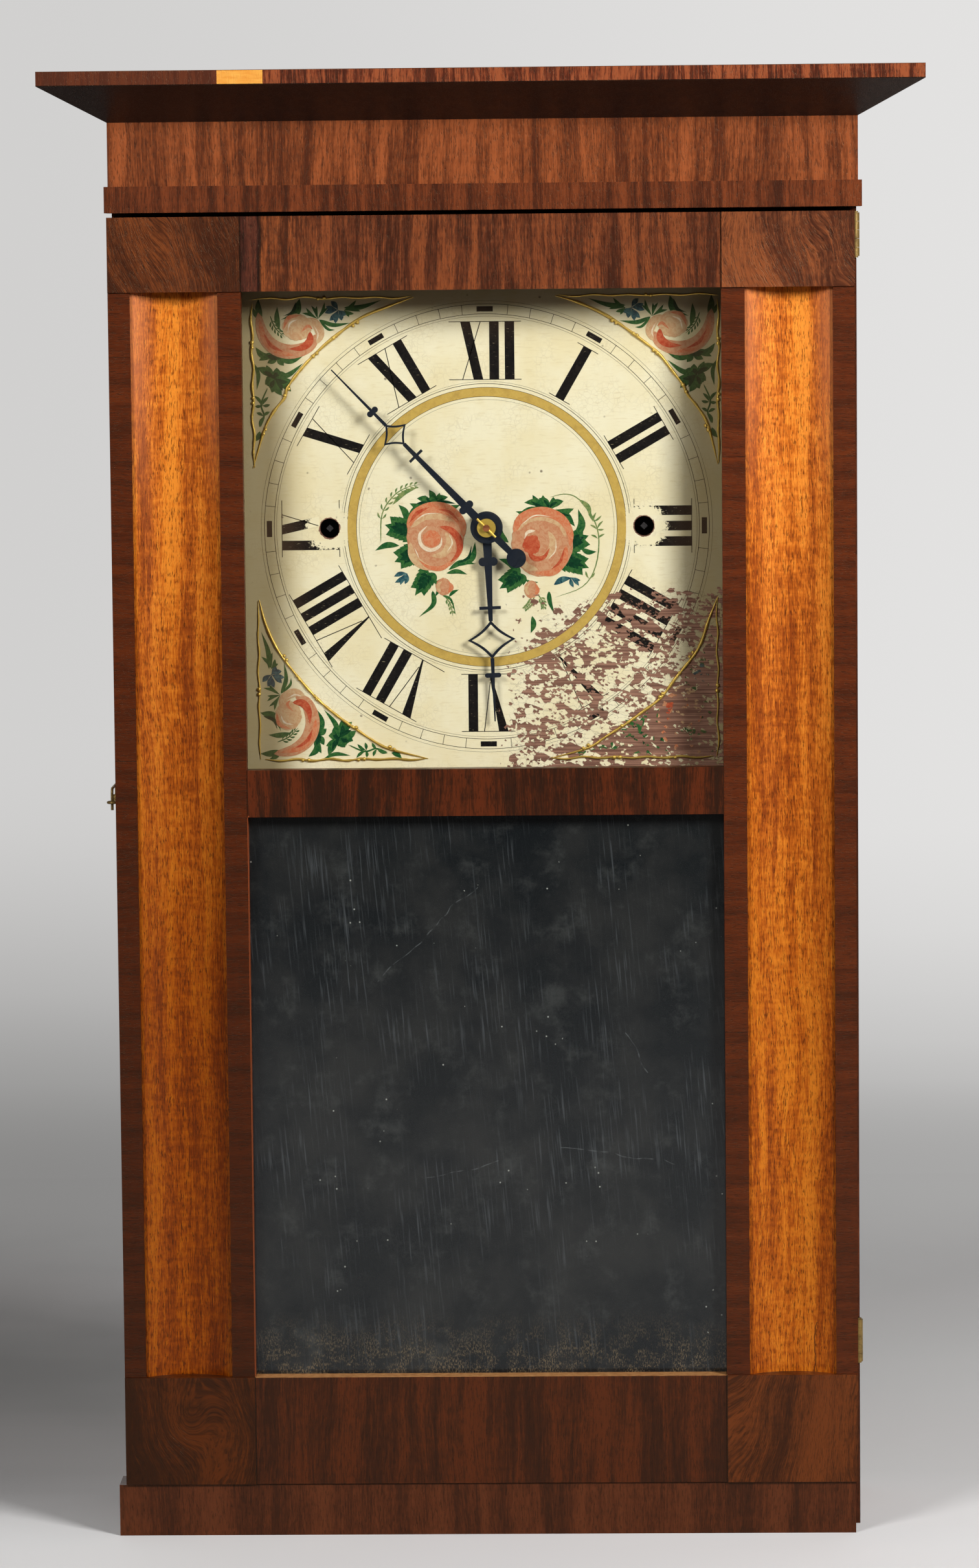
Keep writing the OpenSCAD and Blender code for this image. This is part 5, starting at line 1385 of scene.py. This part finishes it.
def side_joints(where, colour, width):
    """The joints in line with the upright edges of the door's openings."""
    return dark_lines(abs(split(where)[0] - DOOR_X), (OPEN_HALF,), width, colour)


def block_shade_and_joints(where, colour):
    """Painted light and shade: upper blocks lit warmer, lower ones shaded nearly brown; with dark
    joints to the rails.
    """
    return side_joints(where, painted_falloff(where, colour, 0.86, 1.16, 0.4, 0.64), 0.5 * MM)


def aged_rail(where, colour):
    """Joint lines at the rail's ends and bare wood by the mirror."""
    return side_joints(where, raw_edges(where, colour), 0.35 * MM)


def top_rail_end(where, colour):
    """The top rail's left end is cut from darker, purple wood along a curved line."""
    x, _, _ = split(where)
    wander = noise(where, (0, 0, 28))
    line = wander * 0.012 + (DOOR_X - OPEN_HALF + 0.006)
    past = x - line
    purple = tinted(colour, (0.5, 0.52, 0.86, 1))
    orange = tinted(colour, (1.3, 1.3, 1.1, 1))
    colour = mix(remap(past, 0.004, 0.05, 0.9, 0), colour, orange)
    colour = mix(past < 0, colour, purple)
    edge = remap(abs(past), 0.0002, 0.0022, 0.85, 0)
    colour = mix(edge, colour, srgb(24, 10, 9))
    return side_joints(where, colour, 0.35 * MM)


def pilaster_shade_sheen_and_crack(where, colour):
    """Painted light on the pilasters: brighter at the top right and shaded darker to the foot, with
    a painted pinkish sheen along their edges near the top; one fine crack on the right.
    """
    x, _, z = split(where)
    colour = painted_falloff(where, colour, 0.98, 1.1, 0.45, 0.75, 0.3, 2.9)
    # Painted sheen: a pinkish highlight along the hollow's edges near the top.
    half = (PILASTER_OUT - PILASTER_IN) / 2
    off_middle = abs(abs(x - DOOR_X) - (PILASTER_IN + half))
    painted_edge_sheen = remap(off_middle, 0.45 * half, half) * remap(z, 0.64, 0.8, 0, 0.55)
    colour = mix(painted_edge_sheen, colour, srgb(212, 132, 92))
    drift = noise(where, (0, 0, 60))
    off = abs(x - (drift * 0.008 + CRACK_X))
    crack = remap(off, 0.1 * MM, 0.6 * MM, 0.8, 0) * (z < CRACK_TOP)
    return mix(crack, colour, srgb(44, 18, 6))


def strip_shade_and_joints(where, colour):
    """Edge strips, with painted shade darker towards the foot and the left, the joints of their
    short lengths and the bare edge by the mirror.
    """
    _, _, z = split(where)
    colour = painted_falloff(where, colour, 0.72, 0.84, 0.36, 0.6)
    colour = dark_lines(z, STRIP_JOINTS, 0.25 * MM, colour, 0.6)
    return raw_edges(where, colour)


def raw_edges(where, colour):
    """Bare pine on the lower edge of the mirror's opening, and a thread of it on the left."""
    x, _, z = split(where)
    aside = DOOR_X - x
    inside = (abs(aside) < OPEN_HALF + 0.25 * MM) * (z < MIRROR_TOP + 1 * MM)
    left = (aside > OPEN_HALF - 1 * MM) * (z > MIRROR_FOOT)
    foot = abs(z - MIRROR_FOOT) < 0.25 * MM
    grain = noise(where, (300, 300, 40), 3)
    colour = mix(inside * left * 0.75, colour, srgb(168, 84, 44))
    return mix(inside * foot, colour, mix(grain, srgb(132, 76, 36), srgb(222, 164, 104)))


def cornice_marks(where, colour):
    """Plain dark left end, light patch let into the front, underside in painted shade, bare dusty
    top.
    """
    x, y, z = split(where)
    patch = (x > PATCH[0]) * (x < PATCH[1])
    face = patch * (y < FRIEZE_FACE - 0.038) * (z > CORNICE_LIP)
    colour = mix((x < PATCH[0]) * 0.8, colour, srgb(76, 36, 24))
    glow = noise(where, (120, 120, 500), 3)
    colour = mix(face, colour, mix(glow, srgb(222, 130, 40), srgb(250, 190, 92)))
    # Painted shade: the underside is nearly black, where no light reaches.
    colour = mix((z < CORNICE_LIP) * 0.95, colour, srgb(17, 6, 6))
    dusty = noise(where, (9, 190, 30), 4)
    return mix(z > CORNICE_TOP, colour, mix(dusty, srgb(58, 34, 22), srgb(112, 76, 50)))


def dress_case():
    dress(veneer("frieze_veneer", srgb(74, 32, 17), srgb(120, 60, 31), srgb(156, 82, 44),
                 streaks=110.0, shift=(0.3, 0, 0)), "frieze")
    dress(veneer("top_rail_veneer", srgb(58, 25, 15), srgb(96, 48, 28), srgb(134, 70, 38),
                 streaks=95.0, contrast=0.16, shift=(0.9, 0, 0), marks=top_rail_end),
          "door_rail_top")
    dress(veneer("side_veneer", srgb(60, 26, 15), srgb(92, 44, 25), srgb(120, 62, 34),
                 streaks=60.0), "side_boards")
    dress(veneer("middle_rail_veneer", srgb(38, 14, 7), srgb(65, 27, 12), srgb(90, 38, 17),
                 contrast=0.14, shift=(1.7, 0, 0), marks=aged_rail), "door_rail_middle")
    dress(veneer("bottom_rail_veneer", srgb(42, 16, 8), srgb(64, 27, 12), srgb(84, 36, 15),
                 contrast=0.16, shift=(2.6, 0, 0), marks=aged_rail), "door_rail_bottom")
    dress(veneer("band_veneer", srgb(58, 24, 14), srgb(92, 43, 23), srgb(122, 60, 32),
                 streaks=140.0, shift=(3.1, 0, 0)), "frieze_band")
    dress(veneer("plinth_veneer", srgb(50, 22, 12), srgb(77, 36, 19), srgb(96, 48, 26),
                 streaks=50.0, shift=(4.2, 0, 0)), "plinth_rail")
    dress(veneer("cornice_veneer", srgb(68, 28, 18), srgb(112, 52, 32), srgb(150, 78, 46),
                 streaks=170.0, contrast=0.11, shift=(5.5, 0, 0), marks=cornice_marks),
          "cornice_mouldings")
    dress(veneer("block_veneer", srgb(62, 28, 16), srgb(96, 49, 27), srgb(132, 70, 36),
                 streaks=30.0, bend=0.16, contrast=0.15, shift=(0.4, 0, 1.1), marks=block_shade_and_joints),
          "corner_blocks")
    dress(veneer("pilaster_veneer", srgb(142, 62, 14), srgb(204, 106, 28), srgb(240, 144, 48),
                 streaks=70.0, ripples=240.0, ripple_mix=0.3, pore_mix=0.75, contrast=0.22,
                 fibre_mix=0.6, shift=(0.13, 0, 0.6), marks=pilaster_shade_sheen_and_crack), "pilasters")
    dress(veneer("strip_veneer", srgb(66, 27, 14), srgb(94, 41, 21), srgb(114, 53, 27),
                 grain="x", streaks=100.0, contrast=0.27, marks=strip_shade_and_joints), "edge_strips")


def round_arbors(where):
    """Distance from the nearer winding arbor's centre line."""
    x, _, z = split(where)
    return away(abs(x) - WINDING_OUT, z - HANDS.z)


def arbor_soot_and_shade(where, colour):
    """Oil and dirt round the winding arbors, darkened further with painted shade in the hollow seen
    through the dial's holes.
    """
    # Painted shade: nearly black round the arbors, where the holes lie in shadow.
    soot_and_shade = remap(round_arbors(where), 0.008, 0.02, 0.93, 0)
    return mix(soot_and_shade, colour, srgb(22, 15, 11))


def winding_iron(where, colour):
    """The winding squares are iron set into the wooden drums."""
    _, y, _ = split(where)
    near = round_arbors(where) < 0.0036
    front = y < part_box("plate_front")[0].y
    return mix(near * front, colour, srgb(44, 42, 42))


def dress_insides():
    pine = bare_wood("old_pine", srgb(150, 106, 62), srgb(196, 150, 96))
    dress(pine, "back_board", "inner_rails")
    dress(bare_wood("stained_pine", srgb(84, 46, 26), srgb(126, 74, 42), shift=(0.3, 0.2, 0)),
          "door_stiles")
    dress(bare_wood("pine_laid_across", srgb(142, 100, 60), srgb(188, 142, 92), "x", (0.5, 0, 0)),
          "bottom_board", "mirror_back", "dial_glass_bead")
    dress(bare_wood("dusty_pine", srgb(104, 74, 46), srgb(146, 110, 74), "x", (0.9, 0, 0),
                    rough=0.8), "top_board")
    dress(dial_paint(), "dial_board")
    oak = bare_wood("oak_plate", srgb(140, 98, 56), srgb(190, 146, 92), "x", (0.2, 0, 0.7), 220.0,
                    marks=arbor_soot_and_shade)
    dress(oak, "plate_front", "plate_back")
    turned_wood = bare_wood("turned_laurel", srgb(150, 118, 76), srgb(196, 164, 116), "y",
                            (0.1, 0.4, 0), 200.0, 0.5, winding_iron)
    dress(turned_wood, "pillars_and_pegs", "time_drum", "strike_drum", "time_pulley",
          "strike_pulley", "pulley_blocks")
    cherry = bare_wood("cherry_wheels", srgb(118, 66, 36), srgb(164, 100, 58), "x", (0.7, 0, 0),
                       260.0, 0.48)
    dress(cherry, "hour_wheel", "minute_wheel", "centre_wheel", "time_great_wheel",
          "time_second_wheel", "third_wheel", "strike_great_wheel", "strike_second_wheel",
          "pin_wheel", "warning_wheel", "fly", "count_wheel", "strike_hammer")


def dress_metal_and_glass():
    brass = aged_metal("old_brass", srgb(206, 164, 84), srgb(112, 82, 40), 1.0, 0.28, 0.7)
    dress(brass, "escape_wheel", "pendulum_bob")
    dress(aged_metal("bright_brass", srgb(226, 192, 84), srgb(170, 134, 52), 0.55, 0.3, 0.4),
          "hand_collet")
    dress(aged_metal("dull_brass", srgb(150, 122, 66), srgb(84, 64, 36), 0.6, 0.42, 0.8),
          "hinge_case_leaves", "hinge_door_leaves", "latch_hook", "latch_eye", "latch_screw")
    blued = aged_metal("blued_iron", srgb(30, 38, 50), srgb(20, 24, 30), 0.55, 0.38, 0.8, 90.0)
    dress(blued, "minute_hand", "hour_hand")
    wire = aged_metal("drawn_wire", srgb(122, 112, 92), srgb(58, 50, 42), 0.9, 0.4, 0.8, 120.0)
    dress(wire, "verge", "pendulum_rod")
    iron = aged_metal("rough_iron", srgb(58, 56, 55), srgb(84, 56, 40), 0.6, 0.6, 0.7, 45.0, 0.0005)
    dress(iron, "time_weight", "strike_weight", "bell")
    dress(window_glass(), "dial_glass")
    dress(old_mirror(), "mirror_glass")


# ------------------------------------------------------------ floor, backdrop and light

STAGE_WIDE = 6
STAGE_TALL = 4
# (place, grey) from the floor's front to its back, and up the backdrop from its foot.
# The floor's greys carry painted light: brighter towards the front, and on the left a painted
# shadow of the clock.
FLOOR_LEFT = ((0.0, 238), (0.06, 182), (0.1, 166), (0.25, 150), (0.5, 150), (1.0, 164))
FLOOR_RIGHT = ((0.0, 242), (0.1, 234), (0.25, 234), (0.5, 230), (1.0, 210))
# The backdrop's greys are painted shade: darker low down and to the left.
BACKDROP_LEFT = ((0.0, 137), (0.06, 147), (0.12, 156), (0.22, 165), (0.38, 179), (0.58, 190),
                 (0.88, 205), (1.0, 209))
BACKDROP_RIGHT = ((0.0, 168), (0.06, 179), (0.12, 190), (0.22, 200), (0.38, 209), (0.58, 218),
                  (0.88, 226), (1.0, 227))


def stage_run(value, left, right, x):
    """Greys along a value, given apart for the left and the right side."""
    def run(greys):
        return colour_run(value, [(place, srgb(g, g - 1, g - 2)) for place, g in greys])
    return mix(remap(x, -0.5, 0.5), run(left), run(right))


def is_seen(shader):
    """1 for the camera's rays and for those that gloss and glass send on, 0 for scattered ones."""
    rays = by_name(shader.id_data.nodes.new("ShaderNodeLightPath"))
    return larger(rays["Is Camera Ray"], larger(rays["Is Glossy Ray"], rays["Is Transmission Ray"]))


def blended(share, one, other):
    """A shader that turns into another by a share."""
    return after("ShaderNodeMixShader", {0: share, 1: one, 2: other})[0]


def stage_shade(shader, seen_colour, lit_colour):
    """A lit surface for scattered light, and for the camera a glow of a plain colour, which carries
    the painted light and shade.
    """
    lit = add_node(shader.id_data, "ShaderNodeBsdfDiffuse", {"Color": lit_colour})
    plain = after("ShaderNodeEmission", {"Color": seen_colour, "Strength": 1})[0]
    return blended(is_seen(shader), Value(lit.outputs[0]), plain)


def end_with(shader, surface):
    set_inputs(shader.id_data.nodes["Material Output"], {"Surface": surface})


def stage_piece(name, corners, material):
    """A flat sheet of the studio, with its front on the side where its corners turn left."""
    shape = Outline()
    shape.fan([Vector(corner) for corner in corners])
    return new_piece(name, shape, material)


def make_floor():
    """Pale floor, with painted light and a painted shadow of the clock in the colour the camera
    sees, that runs into the backdrop's colour at its back.
    """
    material, shader = new_finish("pale_floor", Roughness=0.7, Specular_IOR_Level=0.1)
    where = place_of(shader)
    x, y, _ = split(where)
    pale = stage_run(remap(y, -0.1, 1.1), FLOOR_LEFT, FLOOR_RIGHT, x)
    pale = mix(remap(noise(where, 3, 3), 0.3, 0.7, 0, 0.25), pale, srgb(226, 220, 220))
    feed(shader, Base_Color=mix(is_seen(shader), srgb(110, 108, 106), pale))
    fade = remap(y, 0.75, FLOOR_BACK - 0.05) * remap(y, FLOOR_BACK + 0.01, FLOOR_BACK + 0.5, 1, 0)
    # Painted shade: the far floor glows darker on the left.
    low = mix(remap(x, -0.5, 0.5), srgb(136, 135, 134), srgb(167, 166, 165))
    far = stage_shade(shader, low, srgb(200, 198, 197))
    end_with(shader, blended(fade, Value(shader.outputs[0]), far))
    wide = STAGE_WIDE
    floor = (-wide, -wide, 0), (wide, -wide, 0), (wide, wide, 0), (-wide, wide, 0)
    stage_piece("floor", floor, material)


def make_backdrop():
    """Pale grey paper, with painted shade: lighter to the right and darker low down; clear from
    behind.
    """
    material, shader = new_finish("paper_backdrop")
    x, _, z = split(place_of(shader))
    grey = stage_run(remap(z, 0.0, 0.4), BACKDROP_LEFT, BACKDROP_RIGHT, x)
    shade = stage_shade(shader, grey, srgb(205, 205, 205))
    behind = by_name(shader.id_data.nodes.new("ShaderNodeNewGeometry"))["Backfacing"]
    clear = shader.id_data.nodes.new("ShaderNodeBsdfTransparent")
    end_with(shader, blended(behind, shade, Value(clear.outputs[0])))
    shader.id_data.nodes.remove(shader)
    wide, far, tall = STAGE_WIDE, FLOOR_BACK, STAGE_TALL
    back = (-wide, far, 0), (wide, far, 0), (wide, far, tall), (-wide, far, tall)
    stage_piece("backdrop", back, material)


def light_studio():
    """Dim pale surroundings and a softbox at each side of the camera."""
    world = bpy.data.worlds.new("studio")
    bpy.context.scene.world = world
    world.use_nodes = True
    surroundings = world.node_tree.nodes["Background"]
    seen = by_name(world.node_tree.nodes.new("ShaderNodeLightPath"))["Is Camera Ray"]
    feed(surroundings, Color=srgb(214, 214, 213), Strength=remap(seen, 0, 1, 0.055, 1))
    softbox("left_softbox", (-1.45, -2.15, 1.95), 0.8, 0.8, 39.5)
    softbox("right_softbox", (1.65, -1.75, 1.7), 0.7, 0.9, 69.5)


# ------------------------------------------------------------ build

bpy.context.scene.view_settings.view_transform = "Standard"
make_camera()
make_effects()
light_studio()
make_floor()
make_backdrop()
dress_case()
dress_insides()
dress_metal_and_glass()
hang_cords(linen_cord())
paint_dial()
